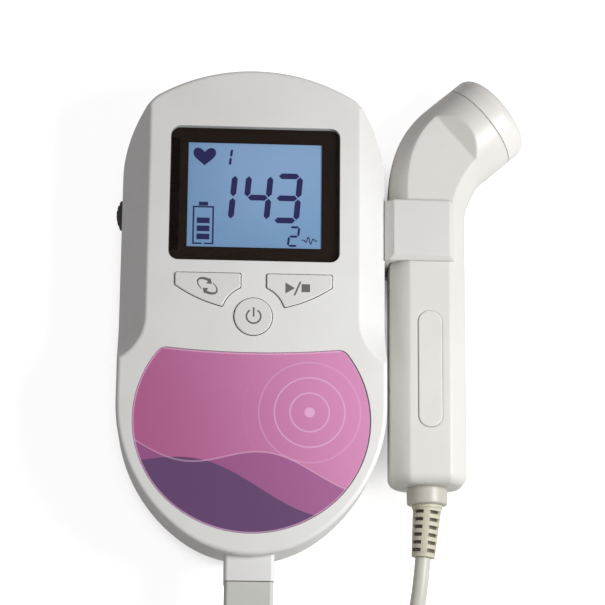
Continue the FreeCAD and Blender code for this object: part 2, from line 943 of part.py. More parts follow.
def lip_ring():
    """The tongue under the front shell's rim that enters the rear shell."""
    inset = S.wall - S.lip_wall
    low = PARTING_Z - S.lip_height
    rim = prism("LipRim", lambda sketch: casing_outline(sketch, inset), low, PARTING_Z)
    void = prism("LipVoid", lambda sketch: casing_outline(sketch, S.wall), low, PARTING_Z)
    return trim("LipRing", rim, void)


def seam_ring():
    """The shadow line all round the casing, cut in the front shell's rim."""
    high = PARTING_Z + S.seam_height
    around = prism(
        "SeamAround", lambda sketch: casing_outline(sketch, -PAST), PARTING_Z - PAST, high)
    core = prism(
        "SeamCore", lambda sketch: casing_outline(sketch, S.seam_depth), PARTING_Z - 2 * PAST, high + PAST)
    return trim("SeamRing", around, core)


def wheel_slot():
    """The slot in the left wall that the loudness wheel shows through."""
    wall_x = S.half_width - S.wall + WHEEL_X
    half = root(S.wheel_radius * S.wheel_radius - wall_x * wall_x) + S.wheel_gap
    return box(
        "WheelSlot",
        (-S.half_width - PAST, S.wall - S.half_width),
        (S.wheel_y - half, S.wheel_y + half),
        (WHEEL_LOW - S.wheel_gap, WHEEL_TOP + S.wheel_gap))


def jack_hole():
    """The round hole in the top wall, half in each shell, for the earphone jack's nose."""
    return rod(
        "JackHole", S.jack_nose_radius + S.fit_gap, (0, S.half_length - 3 * S.wall, PARTING_Z),
        4 * S.wall, "y")


def hood():
    """The sleeve that stands out of the lower wall round the probe socket."""
    end_y = S.half_length + S.hood_out
    start_y = S.half_length - S.hood_in

    def draw(sketch):
        rounded_rectangle(sketch, -S.hood_x, S.hood_x, HOOD_LOW, HOOD_HIGH, S.hood_edge)
    return prism("Hood", draw, start_y, end_y, "XZ_Plane")


def socket_space():
    """The way through the hood and the lower wall that holds the socket."""
    return box(
        "SocketSpace",
        (-S.socket_x - S.fit_gap, S.socket_x + S.fit_gap),
        (HOOD_END_Y - PAST, S.hood_in + PAST - S.half_length),
        (SOCKET_LOW - S.fit_gap, SOCKET_HIGH + S.fit_gap))


def key_holes():
    """The three openings that the keys rise through."""
    gap = S.key_gap
    low = FRONT_INNER - PAST
    right = prism("RightKeyHole", lambda sketch: side_key_outline(sketch, gap), low, S.depth + PAST)
    round_edges(right, all_upright, S.key_corner)
    power = rod("PowerKeyHole", S.power_radius + gap, (0, S.power_y, low), S.wall + 2 * PAST)
    return [right, flip("LeftKeyHole", right), power]


def front_shell(casing):
    above = box("AboveParting", (-FAR, FAR), (-FAR, FAR), (PARTING_Z, 2 * S.depth))
    half = overlap("FrontHalf", casing, above)
    ledge_low = LCD_TOP - S.ledge_depth
    window_ledge = box(
        "WindowLedge",
        (-S.window_x - S.ledge_width, S.window_x + S.ledge_width),
        (S.window_low_y - S.ledge_width, S.window_high_y + S.ledge_width),
        (ledge_low, FRONT_INNER))
    bosses = rods("FrontBoss", S.boss_radius, CASING_BOSSES, PARTING_Z, FRONT_INNER + S.root_depth)
    pegs = rods("Peg", S.peg_radius, PEGS, BOARD_TOP, FRONT_INNER + S.root_depth)
    solid = merge("FrontSolid", half, lip_ring(), window_ledge, hood(), *bosses, *pegs)

    rebate = prism(
        "WindowRebate", lambda sketch: window_outline(sketch, S.fit_gap), LCD_TOP, S.depth + PAST)
    lcd_hole = box(
        "LcdHole",
        (-LCD_X - S.fit_gap, LCD_X + S.fit_gap),
        (LCD_Y[0] - S.fit_gap, LCD_Y[1] + S.fit_gap),
        (ledge_low - PAST, LCD_TOP))
    label_seat = prism(
        "LabelSeat", lambda sketch: label_outline(sketch, S.fit_gap), LABEL_FLOOR, S.depth + PAST)
    round_edges(label_seat, upright(above_y=LABEL_MIDDLE_Y), S.label_corner + S.fit_gap)
    pilots = rods(
        "Pilot", S.screw_radius + S.screw_gap, CASING_BOSSES, PARTING_Z - PAST,
        S.screw_seat_z + S.screw_length + S.pilot_spare)
    peg_pilots = rods(
        "PegPilot", S.board_screw_radius + S.screw_gap, PEGS, BOARD_TOP - PAST,
        BOARD_LOW + S.board_screw_length + S.pilot_spare)
    return keep("front_shell", trim(
        "FrontShell", solid, seam_ring(), rebate, lcd_hole, label_seat, wheel_slot(), jack_hole(),
        socket_space(), *key_holes(), *pilots, *peg_pilots))


# ---------------------------------------------------------------- rear shell

def speaker_grille():
    """Level slots through the rear wall, cut off by a circle."""
    count = int(S.grille_radius.value / S.grille_pitch.value)
    slots = []
    for row in range(-count, count + 1):
        rise = row * S.grille_pitch
        half = root(S.grille_radius * S.grille_radius - rise * rise) - S.grille_slot / 2
        slot_y = S.speaker_y + rise
        low_y = slot_y - S.grille_slot / 2
        high_y = slot_y + S.grille_slot / 2

        def draw(sketch, half=half, low_y=low_y, high_y=high_y):
            corners = [(-half, low_y), (half, low_y), (half, high_y), (-half, high_y)]
            outline(sketch, corners, {1: S.grille_end_radius, 3: S.grille_end_radius})
        slots.append(prism(f"GrilleSlot{row + count + 1}", draw, -PAST, S.wall + PAST))
    return slots


def battery_bay():
    """The walls and roof of the battery bay, without its hollow."""
    wall = S.bay_wall
    return box(
        "BayWalls", (-BAY_X - wall, BAY_X + wall), (BAY_Y[0] - wall, BAY_Y[1] + wall),
        (S.wall - S.root_depth, BAY_TOP + wall))


def tab_slots():
    """Slots in the bay's upper wall for the cover's two tabs."""
    half = S.tab_half_width + S.cover_gap
    return [
        box(
            f"TabSlot{number}",
            (side * S.tab_x - half, side * S.tab_x + half),
            (BAY_Y[1] - PAST, BAY_Y[1] + 2 * S.bay_wall),
            (S.wall, S.wall + S.tab_slot_height))
        for number, side in enumerate((1, -1), start=1)
    ]


def clip_screw_spots():
    """Heights along Y of the two screws that hold the clip."""
    middle = (S.clip_low_y + S.clip_high_y) / 2
    return [middle - S.clip_screw_spread / 2, middle + S.clip_screw_spread / 2]


def clip_landing():
    """The upright pad on the leaning side wall that the clip is screwed to."""
    return box(
        "ClipLanding", (S.half_width - S.wall, S.half_width), (S.clip_low_y, S.clip_high_y),
        (CLIP_LOW + S.clip_bevel, PARTING_Z - S.lip_height - S.lip_gap))


def rear_shell(casing):
    below = box("BelowParting", (-FAR, FAR), (-FAR, FAR), (-S.depth, PARTING_Z))
    half = overlap("RearHalf", casing, below)
    bosses = rods("RearBoss", S.boss_radius, CASING_BOSSES, S.wall - S.root_depth, PARTING_Z)
    speaker_seat = trim(
        "SpeakerSeat",
        rod("SeatOuter", S.speaker_radius + S.bay_wall, (0, S.speaker_y, S.wall - S.root_depth),
            S.speaker_seat_height + S.root_depth),
        rod("SeatInner", S.speaker_radius + S.fit_gap, (0, S.speaker_y, 0), 2 * S.speaker_seat_height))
    solid = merge("RearSolid", half, battery_bay(), speaker_seat, clip_landing(), *bosses)

    groove_inset = S.wall - S.lip_wall - S.lip_gap
    groove = prism(
        "LipGroove", lambda sketch: casing_outline(sketch, groove_inset),
        PARTING_Z - S.lip_height - S.lip_gap, PARTING_Z + PAST)
    groove_core = prism(
        "LipGrooveCore", lambda sketch: casing_outline(sketch, S.wall),
        PARTING_Z - 2 * S.lip_height, PARTING_Z + 2 * PAST)
    bay_hollow = box("BayHollow", (-BAY_X, BAY_X), BAY_Y, (S.wall, BAY_TOP))
    door = prism("DoorOpening", door_outline, -PAST, S.wall)
    scoop = rod(
        "Scoop", S.scoop_radius,
        (-S.scoop_half_width, DOOR_Y[0] - S.scoop_radius / 2, S.scoop_depth - S.scoop_radius),
        2 * S.scoop_half_width, "x")
    heads = rods("HeadHole", S.screw_head_radius + S.fit_gap, CASING_BOSSES, -PAST, S.screw_seat_z)
    shanks = rods("ShankHole", S.screw_radius + S.screw_gap, CASING_BOSSES, 0, PARTING_Z + PAST)
    clip_holes = [
        rod(f"ClipHole{number}", S.clip_screw_radius + S.screw_gap,
            (S.half_width - S.wall - PAST, y, S.clip_screw_z), S.wall + 2 * PAST, "x")
        for number, y in enumerate(clip_screw_spots(), start=1)
    ]
    clip_seats = [
        rod(f"ClipSeat{number}", S.clip_screw_head_radius + S.fit_gap,
            (S.half_width - S.wall - PAST, y, S.clip_screw_z), PAST, "x")
        for number, y in enumerate(clip_screw_spots(), start=1)
    ]
    groove_ring = trim("LipGrooveRing", groove, groove_core)
    return keep("rear_shell", trim(
        "RearShell", solid, groove_ring, bay_hollow, door, scoop, wheel_slot(), jack_hole(),
        *tab_slots(), *heads, *shanks, *clip_holes, *clip_seats, *speaker_grille()))


# ---------------------------------------------------------------- fasteners

def screw(name, foot, along, radius, length, head_radius, head_height):
    """A screw with a cross recess; its seat is at the foot and its shank runs along."""
    shank = [
        (0, -head_height), (head_radius, -head_height), (head_radius, 0), (radius, 0),
        (radius, length - S.screw_point), (radius / 2, length), (0, length),
    ]
    body = turned(f"{name}Body", list(reversed(shank)))
    reach = head_radius - S.recess_width / 2
    half = S.recess_width / 2
    deep = (-head_height - PAST, S.recess_depth - head_height)
    cross = [
        box(f"{name}Level", (-reach, reach), (-half, half), deep),
        box(f"{name}Upright", (-half, half), (-reach, reach), deep),
    ]
    return orient(trim(name, body, *cross), foot, along)


def casing_screws():
    spots = [(x, y, S.screw_seat_z) for x, y in CASING_BOSSES]
    return keep("casing_screws", group("CasingScrews", *[
        screw(f"CasingScrew{number}", spot, "z", S.screw_radius, S.screw_length, S.screw_head_radius,
              S.screw_head_height)
        for number, spot in enumerate(spots, start=1)
    ]))


def board_screws():
    spots = [(x, y, BOARD_LOW) for x, y in PEGS]
    return keep("board_screws", group("BoardScrews", *[
        screw(f"BoardScrew{number}", spot, "z", S.board_screw_radius, S.board_screw_length,
              S.board_screw_head_radius, S.board_screw_head_height)
        for number, spot in enumerate(spots, start=1)
    ]))


def clip_screws():
    spots = [(S.half_width - S.wall, y, S.clip_screw_z) for y in clip_screw_spots()]
    return keep("clip_screws", group("ClipScrews", *[
        screw(f"ClipScrew{number}", spot, "x", S.clip_screw_radius, S.clip_screw_length,
              S.clip_screw_head_radius, S.clip_screw_head_height)
        for number, spot in enumerate(spots, start=1)
    ]))


# ---------------------------------------------------------------- battery bay

def battery_cover():
    """The flush door: two hooks, round about the hinge line, a latch tongue and grip grooves."""
    plate = prism("CoverPlate", lambda sketch: door_outline(sketch, S.cover_gap), 0, S.wall)
    tab_y = DOOR_Y[1] - S.cover_gap
    tab_end = S.tab_x + S.tab_half_width
    tabs = [
        overlap(
            f"CoverTab{number}",
            box(
                f"TabSheet{number}",
                (side * S.tab_x - S.tab_half_width, side * S.tab_x + S.tab_half_width),
                (tab_y - S.tab_root, tab_y + S.tab_reach), (S.wall, S.wall + S.tab_thick)),
            rod(f"TabTurn{number}", S.tab_turn_radius, (-tab_end, DOOR_Y[1], 0), 2 * tab_end, "x"))
        for number, side in enumerate((1, -1), start=1)
    ]
    latch_y = BAY_Y[0] + S.latch_gap
    latch = box(
        "CoverLatch", (-S.latch_half_width, S.latch_half_width), (latch_y, latch_y + S.latch_thick),
        (S.wall, S.wall + S.latch_height))
    first_y = DOOR_Y[0] + S.groove_first
    grooves = [
        box(
            f"CoverGroove{row + 1}", (-S.groove_half_width, S.groove_half_width),
            (first_y + row * S.groove_pitch, first_y + row * S.groove_pitch + S.groove_width),
            (-PAST, S.groove_depth))
        for row in range(int(S.groove_count.value))
    ]
    return keep("battery_cover", trim("BatteryCover", merge("CoverSolid", plate, latch, *tabs), *grooves))


def battery_cell(node, side):
    """One cell; side is the direction along X of its positive end."""
    end = S.cell_length - S.cell_nub_length
    rim = S.cell_radius - S.cell_edge
    profile = [
        (0, 0), (rim, 0), (S.cell_radius, S.cell_edge), (S.cell_radius, end - S.cell_edge), (rim, end),
        (S.cell_nub_radius, end), (S.cell_nub_radius, S.cell_length), (0, S.cell_length),
    ]
    start = side * (BAY_X - S.contact_thick - S.cell_length)
    foot = (start, S.bay_y + side * S.cell_pitch / 2, CELL_Z)
    name = node.title().replace("_", "")
    return keep(node, turned(name, profile, foot, "x" if side > 0 else "-x"))


def contact_plate(name, end, y):
    """A square contact on the bay's end wall; end is -1 or 1."""
    low, high = sorted((end * (BAY_X - S.contact_thick), end * BAY_X), key=lambda size: size.value)
    half = S.contact_side / 2
    return box(name, (low, high), (y - half, y + half), (CELL_Z - half, CELL_Z + half))


def plate_contacts():
    return keep("plate_contacts", group("PlateContacts", *[
        contact_plate(f"PlateContact{number}", side, S.bay_y + side * S.cell_pitch / 2)
        for number, side in enumerate((1, -1), start=1)
    ]))


def spring_contacts():
    """Conical springs on their plates, each pressing on the flat end of its cell."""
    springs = []
    for number, side in enumerate((1, -1), start=1):
        y = S.bay_y + side * S.cell_pitch / 2
        step = S.spring_length / (2 * S.spring_turns)
        profile = [(0, 0), (S.spring_radius, 0)]
        for turn in range(1, 2 * int(S.spring_turns.value)):
            narrowing = (S.spring_radius - S.spring_tip_radius) * turn / (2 * S.spring_turns)
            inward = S.spring_wave if turn % 2 else 0
            profile.append((S.spring_radius - narrowing - inward, turn * step))
        profile += [(S.spring_tip_radius, S.spring_length), (0, S.spring_length)]
        start = -side * (BAY_X - S.contact_thick)
        coil = turned(f"Spring{number}", profile, (start, y, CELL_Z), "x" if side > 0 else "-x")
        springs.append(merge(f"SpringContact{number}", coil, contact_plate(f"SpringPlate{number}", -side, y)))
    return keep("spring_contacts", group("SpringContacts", *springs))


# ---------------------------------------------------------------- speaker

SPEAKER_FOOT = (0, S.speaker_y, S.wall)


def speaker_parts():
    """Gasket, cone, basket and magnet, stacked on the rear wall."""
    radius = S.speaker_radius
    inner = radius - S.gasket_width
    gasket = S.gasket_thick
    cone_low = gasket + S.cone_thick
    neck = S.basket_neck_radius
    back = cone_low + S.basket_height
    keep("speaker_gasket", turned(
        "SpeakerGasket", [(inner, 0), (radius, 0), (radius, gasket), (inner, gasket)], SPEAKER_FOOT))
    keep("speaker_cone", turned("SpeakerCone", [
        (radius, gasket), (radius, cone_low), (inner - S.cone_fold, cone_low),
        (S.dust_cap_radius, S.cone_depth), (0, S.cone_depth - S.dust_cap_height),
        (0, S.cone_depth - S.dust_cap_height - S.cone_thick),
        (S.dust_cap_radius, S.cone_depth - S.cone_thick), (inner - S.cone_fold, gasket),
    ], SPEAKER_FOOT))
    keep("speaker_basket", turned("SpeakerBasket", [
        (inner, cone_low), (radius, cone_low), (radius, cone_low + S.basket_thick),
        (inner + S.basket_thick, cone_low + S.basket_thick), (neck + S.basket_thick, back), (0, back),
        (0, back - S.basket_thick), (neck, back - S.basket_thick),
    ], SPEAKER_FOOT))
    keep("speaker_magnet", turned("SpeakerMagnet", [
        (0, back), (S.magnet_radius, back), (S.magnet_radius, back + S.magnet_height - S.magnet_edge),
        (S.magnet_radius - S.magnet_edge, back + S.magnet_height), (0, back + S.magnet_height),
    ], SPEAKER_FOOT))


# ---------------------------------------------------------------- display stack and main board

def display_window():
    return keep("display_window", prism("DisplayWindow", window_outline, MASK_TOP, WINDOW_TOP))


def display_mask():
    sheet = prism("MaskSheet", window_outline, LCD_TOP, MASK_TOP)
    view = box("MaskView", (-S.view_x, S.view_x), (S.view_low_y, S.view_high_y), (LCD_LOW, WINDOW_TOP))
    return keep("display_mask", trim("DisplayMask", sheet, view))


def lcd_panel():
    return keep("lcd_panel", box("LcdPanel", (-LCD_X, LCD_X), LCD_Y, (LCD_LOW, LCD_TOP)))


def backlight_sides(spread=0):
    """The backlight's sides along X and Y; it stands back from the panel's edges."""
    shrink = S.backlight_margin - spread
    return (shrink - LCD_X, LCD_X - shrink), (LCD_Y[0] + shrink, LCD_Y[1] - shrink)


def backlight():
    low = LCD_LOW - S.backlight_thick
    return keep("backlight", box("Backlight", *backlight_sides(), (low, LCD_LOW)))


def lcd_holder():
    """The tray on the board that carries the backlight and the panel's edges."""
    seat_z = LCD_LOW - S.backlight_thick
    outer = box("HolderOuter", *backlight_sides(S.fit_gap + S.holder_wall), (BOARD_TOP, LCD_LOW))
    seat = box("HolderSeat", *backlight_sides(S.fit_gap), (seat_z, LCD_LOW + PAST))
    under = box("HolderUnder", *backlight_sides(S.fit_gap), (BOARD_TOP - PAST, seat_z - S.holder_wall))
    return keep("lcd_holder", trim("LcdHolder", outer, seat, under))


def main_board():
    low, high = BOARD_LOW, BOARD_TOP
    ear_x = S.half_width - S.wall - S.board_ear_gap
    pieces = [
        box(f"Board{name}", sides, (low_y, high_y), (low, high))
        for name, sides, low_y, high_y in (
            ("Main", (-S.board_x, S.board_x), S.board_low_y, S.board_high_y),
            ("Step", (-S.board_step_x, S.board_step_x), S.board_low_y, S.board_step_y),
            ("Tongue", (-S.board_tongue_x, S.board_tongue_x), S.board_low_y, S.board_tongue_y),
            ("Ear", (-ear_x, 0), S.board_ear_low_y, S.board_ear_high_y))
    ]
    holes = rods("BoardHole", S.board_screw_radius + S.board_hole_gap, PEGS, low - PAST, high + PAST)
    return keep("main_board", trim("MainBoard", merge("BoardSheet", *pieces), *holes))


def processor_chip():
    half = S.chip_side / 2
    return keep("processor_chip", box(
        "ProcessorChip", (S.chip_x - half, S.chip_x + half), (S.chip_y - half, S.chip_y + half),
        (BOARD_LOW - S.chip_height, BOARD_LOW)))


# ---------------------------------------------------------------- keys and label

KEY_TOP = S.depth + S.key_proud
STEM_LOW = SWITCH_TOP + S.key_travel + S.switch_gap


def side_key(name, node=None):
    """A side key: cap, flange under the wall and the stem that meets its switch."""
    cap = prism(f"{name}Cap", side_key_outline, KEY_FLANGE_TOP, KEY_TOP)
    round_edges(cap, all_upright, S.key_corner)
    round_edges(cap, at_height(KEY_TOP), S.key_edge)
    flange = prism(
        f"{name}Flange", lambda sketch: side_key_outline(sketch, S.key_flange),
        KEY_FLANGE_LOW, KEY_FLANGE_TOP)
    stem = rod(f"{name}Stem", S.key_stem_radius, (S.side_key_stem_x, S.side_key_stem_y, STEM_LOW),
               KEY_FLANGE_LOW - STEM_LOW)
    return merge(name, cap, flange, stem)


def keys():
    right = side_key("RightKey")
    keep("start_stop_key", right)
    keep("mode_key", flip("LeftKey", right))
    flange = S.power_radius + S.key_flange
    profile = [
        (0, STEM_LOW), (S.key_stem_radius, STEM_LOW), (S.key_stem_radius, KEY_FLANGE_LOW),
        (flange, KEY_FLANGE_LOW), (flange, KEY_FLANGE_TOP), (S.power_radius, KEY_FLANGE_TOP),
        (S.power_radius, KEY_TOP - S.key_edge), (S.power_radius - S.key_edge, KEY_TOP), (0, KEY_TOP),
    ]
    keep("power_key", turned("PowerKey", profile, (0, S.power_y, 0), arcs={6: S.key_edge}))


def tact_switch(node, x, y):
    """A key switch on the board under a key's stem."""
    half = S.switch_side / 2
    name = node.title().replace("_", "")
    body_top = BOARD_TOP + S.switch_body_height
    body = box(f"{name}Body", (x - half, x + half), (y - half, y + half), (BOARD_TOP, body_top))
    stem = rod(f"{name}Stem", S.switch_stem_radius, (x, y, body_top), S.switch_stem_height)
    return keep(node, merge(name, body, stem))


def label():
    sheet = prism("Label", label_outline, LABEL_FLOOR, LABEL_FLOOR + S.label_thick)
    round_edges(sheet, upright(above_y=LABEL_MIDDLE_Y), S.label_corner)
    return keep("label", sheet)


# ---------------------------------------------------------------- loudness wheel and earphone jack

def volume_wheel():
    """The thumb-wheel, with a ring of round notches."""
    radius = S.wheel_radius
    body = turned("VolumeWheel", [
        (S.spindle_radius + S.spindle_gap, 0), (radius - S.wheel_edge, 0), (radius, S.wheel_edge),
        (radius, S.wheel_thick - S.wheel_edge), (radius - S.wheel_edge, S.wheel_thick),
        (S.spindle_radius + S.spindle_gap, S.wheel_thick),
    ], (WHEEL_X, S.wheel_y, WHEEL_LOW))
    mark = disc(sketch_on(body, "Notch", lift=S.wheel_thick), radius, 0, S.wheel_notch_radius)
    notch = pocket(body, mark, S.wheel_thick)
    ring = body.newObject("PartDesign::PolarPattern", "Notches")
    ring.Originals = [notch]
    ring.Axis = (origin_plane(body, "Z_Axis"), [""])
    ring.Angle = 360
    bind(ring, "Occurrences", S.wheel_notches)
    body.Tip = ring
    DOC.recompute()
    return keep("volume_wheel", body)


def volume_pot():
    """The control above the wheel, with the spindle that carries the wheel."""
    ear_x = S.half_width - S.wall - S.board_ear_gap
    low = WHEEL_TOP + S.wheel_gap - S.fit_gap
    body = box(
        "PotBody", (-ear_x, WHEEL_X + S.pot_reach),
        (S.wheel_y - S.pot_half_width, S.wheel_y + S.pot_half_width), (low, BOARD_LOW))
    head_top = WHEEL_LOW - S.spindle_head_gap
    spindle = turned("PotSpindle", [
        (0, head_top - S.spindle_head_height), (S.spindle_head_radius, head_top - S.spindle_head_height),
        (S.spindle_head_radius, head_top), (S.spindle_radius, head_top), (S.spindle_radius, low), (0, low),
    ], (WHEEL_X, S.wheel_y, 0))
    return keep("volume_pot", merge("VolumePot", body, spindle))


def earphone_jack():
    top_y = S.half_length - S.wall - S.jack_back
    nose_y = S.half_length - S.jack_nose_back
    body = box(
        "JackBody", (-S.jack_x, S.jack_x), (top_y - S.jack_length, top_y),
        (BOARD_LOW - S.jack_height, BOARD_LOW))
    nose = rod("JackNose", S.jack_nose_radius, (0, top_y, PARTING_Z), nose_y - top_y, "y")
    bore = rod(
        "JackBore", S.jack_bore_radius, (0, nose_y - S.jack_bore_length, PARTING_Z),
        S.jack_bore_length + PAST, "y")
    return keep("earphone_jack", trim("EarphoneJack", merge("JackSolid", body, nose), bore))


# ---------------------------------------------------------------- probe socket and plug

SOCKET_END_Y = HOOD_END_Y + S.socket_back
PLUG_Z = (HOOD_LOW + HOOD_HIGH) / 2
PLUG_END_Y = HOOD_END_Y - S.plug_gap


def probe_socket():
    """The connector in the hood, with a flange that bears on the hood's inner end."""
    flange_y = S.hood_in - S.half_length
    body = box(
        "SocketBody", (-S.socket_x, S.socket_x), (SOCKET_END_Y, SOCKET_END_Y + S.socket_length),
        (SOCKET_LOW, SOCKET_HIGH))
    flange = box(
        "SocketFlange", (-S.socket_x - S.socket_flange, S.socket_x + S.socket_flange),
        (flange_y, flange_y + S.socket_flange_thick),
        (SOCKET_LOW - S.socket_flange, SOCKET_HIGH + S.socket_flange))
    inner_x = S.socket_x - S.socket_wall
    recess = box(
        "SocketRecess", (-inner_x, inner_x), (SOCKET_END_Y - PAST, SOCKET_END_Y + S.socket_depth),
        (SOCKET_LOW + S.socket_wall, SOCKET_HIGH - S.socket_wall))
    return keep("probe_socket", trim("ProbeSocket", merge("SocketSolid", body, flange), recess))


def probe_plug():
    """The cord's plug: a grip as wide as the hood and a nose in the socket."""
    inset = S.plug_gap

    def draw(sketch):
        rounded_rectangle(
            sketch, inset - S.hood_x, S.hood_x - inset, HOOD_LOW + inset, HOOD_HIGH - inset, S.plug_edge)
    grip = prism("PlugGrip", draw, -PLUG_END_Y, S.plug_length - PLUG_END_Y, "XZ_Plane")
    side = S.socket_x - S.socket_wall - S.plug_play
    nose = box(
        "PlugNose", (-side, side), (PLUG_END_Y, SOCKET_END_Y + S.socket_depth - S.plug_nose_back),
        (SOCKET_LOW + S.socket_wall + S.plug_play, SOCKET_HIGH - S.socket_wall - S.plug_play))
    return keep("probe_plug", merge("ProbePlug", grip, nose))


def plug_relief():
    foot = (0, PLUG_END_Y - S.plug_length, PLUG_Z)
    return keep("plug_relief", turned("PlugRelief", [
        (0, 0), (S.plug_relief_radius, 0), (S.plug_relief_radius, S.plug_relief_straight),
        (S.plug_relief_tip_radius, S.plug_relief_length), (0, S.plug_relief_length),
    ], foot, "-y"))


# ---------------------------------------------------------------- clip

def probe_clip():
    """The two-finger clip on the monitor's right side."""
    in_x = PROBE_X - S.handle_x - S.clip_gap
    base_x = S.half_width
    end_x = CLIP_TIP_X
    low, high = CLIP_LOW, CLIP_HIGH
    in_low, in_high = S.probe_z - CLIP_CAVITY, S.probe_z + CLIP_CAVITY
    bevel, tip, corner = S.clip_bevel, S.clip_tip_bevel, S.clip_inner_bevel
    points = [
        (base_x, low + bevel), (base_x + bevel, low), (end_x - tip, low), (end_x, low + tip),
        (end_x, in_low), (in_x + corner, in_low), (in_x, in_low + corner), (in_x, in_high - corner),
        (in_x + corner, in_high), (end_x, in_high), (end_x, high - tip), (end_x - tip, high),
        (base_x + bevel, high), (base_x, high - bevel),
    ]
    body = prism(
        "ClipForm", lambda sketch: outline(sketch, points), -S.clip_high_y, -S.clip_low_y, "XZ_Plane")
    end_y = S.clip_low_y.value

    def lower_edges(edge):
        bounds = edge.BoundBox
        return abs(bounds.YMax - end_y) < 1e-4 and bounds.ZMin > high.value - 1e-4
    bevel_edges(body, lower_edges, S.clip_end_bevel)
    holes = [
        rod(f"ClipPilot{number}", S.clip_screw_radius + S.screw_gap, (base_x - PAST, y, S.clip_screw_z),
            PAST + S.clip_pilot_depth, "x")
        for number, y in enumerate(clip_screw_spots(), start=1)
    ]
    return keep("probe_clip", trim("ProbeClip", body, *holes))


# ---------------------------------------------------------------- probe casing

def probe_section(body, name, place, half, top, flat, side, corner, bow):
    """A cross-section sketch: level front and rear, bowed sides and round corners.

    place is its centre along X and Y and the tilt of its plane towards +X.
    """
    x, y, tilt = place
    sketch = sketch_on(body, name, "XZ_Plane", -y)
    if tilt is not None:
        turn = FreeCAD.Rotation(FreeCAD.Vector(0, -1, 0), tilt.value)
        sketch.AttachmentOffset = FreeCAD.Placement(sketch.AttachmentOffset.Base, turn)
        bind(sketch, "AttachmentOffset.Rotation.Angle", tilt)
    bind(sketch, "AttachmentOffset.Base.x", x)
    bind(sketch, "AttachmentOffset.Base.y", S.probe_z)
    edge = half - bow + root(bow * bow - side * side)
    points = [
        (flat, -top), (edge, -side), (edge, side), (flat, top),
        (-flat, top), (-edge, side), (-edge, -side), (-flat, -top),
    ]
    return outline(sketch, points, {0: corner, 1: bow, 2: corner, 4: corner, 5: bow, 6: corner})


def head_place(along):
    """A point on the head's axis, at a distance along it from the cap's seam."""
    return HEAD_X + along * cosine(S.head_angle), S.head_y + along * sine(S.head_angle)


def probe_head(name, inset, past):
    """The head's cylinder with its front and rear slopes."""
    start = inset * tangent(S.head_slope / 2) - S.head_length
    x, y = head_place(start)
    length = past - start
    barrel = rod(f"{name}Barrel", S.head_radius - inset, (x, y, S.probe_z), length, HEAD_DIRECTION)
    low = S.handle_z - inset
    high = low + length * tangent(S.head_slope)
    wide = 2 * S.head_radius
    wedge = DOC.addObject("Part::Wedge", f"{name}Wedge")
    sides = {
        "Xmin": -wide, "X2min": -wide, "Xmax": wide, "X2max": wide, "Ymin": 0, "Ymax": length,
        "Zmin": -low, "Zmax": low, "Z2min": -high, "Z2max": high,
    }
    for prop, size in sides.items():
        bind(wedge, prop, size)
    turn = FreeCAD.Rotation(DIRECTIONS["z"], S.head_angle.value - 90)
    wedge.Placement = FreeCAD.Placement(FreeCAD.Vector(), turn)
    for axis, size in zip("xyz", (x, y, S.probe_z)):
        bind(wedge, f".Placement.Base.{axis}", size)
    return overlap(f"{name}Head", barrel, wedge)


def probe_form(name, inset, past=0):
    """The probe's solid form, moved inwards by inset; past lengthens the head's open end."""
    body = new_body(name)
    top = S.handle_z - inset
    flat_in = S.section_flat_step * inset
    side = S.handle_side - S.section_side_step * inset

    def section(label_text, place, half, flat, corner, bow):
        return probe_section(
            body, label_text, place, half - inset, top, flat - flat_in, side, corner - inset, bow - inset)
    handle = (S.handle_x, S.handle_flat, S.handle_corner, S.handle_bow)
    foot = section("HandleTop", (PROBE_X, S.handle_top_y, None), *handle)
    pad(body, foot, S.handle_top_y - S.handle_bottom_y - inset)
    bottom_y = (S.handle_bottom_y + inset).value
    round_edges(body, lambda edge: edge.BoundBox.YMax < bottom_y + 1e-4, S.handle_bottom_round - inset)

    head_radius = S.head_radius - inset
    head_start = inset * tangent(S.head_slope / 2) - S.head_length
    start = section("BendStart", (PROBE_X, S.handle_top_y, None), *handle)
    ridge = probe_section(
        body, "Ridge", (*head_place(head_start), 90 - S.head_angle), head_radius, top,
        root(head_radius * head_radius - top * top), side, head_radius, head_radius)
    loft_sections = [
        section("BendFoot", (PROBE_X, S.bend_y, None), *handle),
        section("BendLow", (BEND_LOW_X, S.bend_low_y, S.bend_low_tilt),
                S.bend_low_half, S.bend_low_flat, S.bend_low_corner, S.bend_low_bow),
        section("BendHigh", (BEND_HIGH_X, S.bend_high_y, S.bend_high_tilt),
                S.bend_high_half, S.bend_high_flat, S.bend_high_corner, S.bend_high_bow),
        ridge,
    ]
    bend = body.newObject("PartDesign::AdditiveLoft", "Bend")
    bend.Profile = start
    bend.Sections = loft_sections
    DOC.recompute()
    return merge(f"{name}Whole", body, probe_head(name, inset, past))


PROBE_BOSSES = [(PROBE_X, y) for y in (S.probe_boss_low_y, S.probe_boss_high_y)]
PROBE_BOARD_LOW = S.probe_z - S.probe_board_thick / 2
PROBE_BOARD_HIGH = S.probe_z + S.probe_board_thick / 2
PROBE_SCREW_SEAT = S.probe_z - S.handle_z + S.probe_screw_seat
COLLAR_FOOT = (PROBE_X, S.handle_bottom_y, S.probe_z)


def badge_outline(sketch, spread=0):
    return rounded_rectangle(
        sketch, PROBE_X - S.badge_x - spread, PROBE_X + S.badge_x + spread,
        S.badge_low_y - spread, S.badge_high_y + spread, S.badge_corner + spread)


def collar_hole(name):
    """The round hole in the handle's lower end, half in each shell."""
    return rod(
        name, S.collar_neck_radius + S.collar_neck_gap,
        (PROBE_X, S.handle_bottom_y - PAST, S.probe_z), S.probe_wall + 2 * PAST, "y")


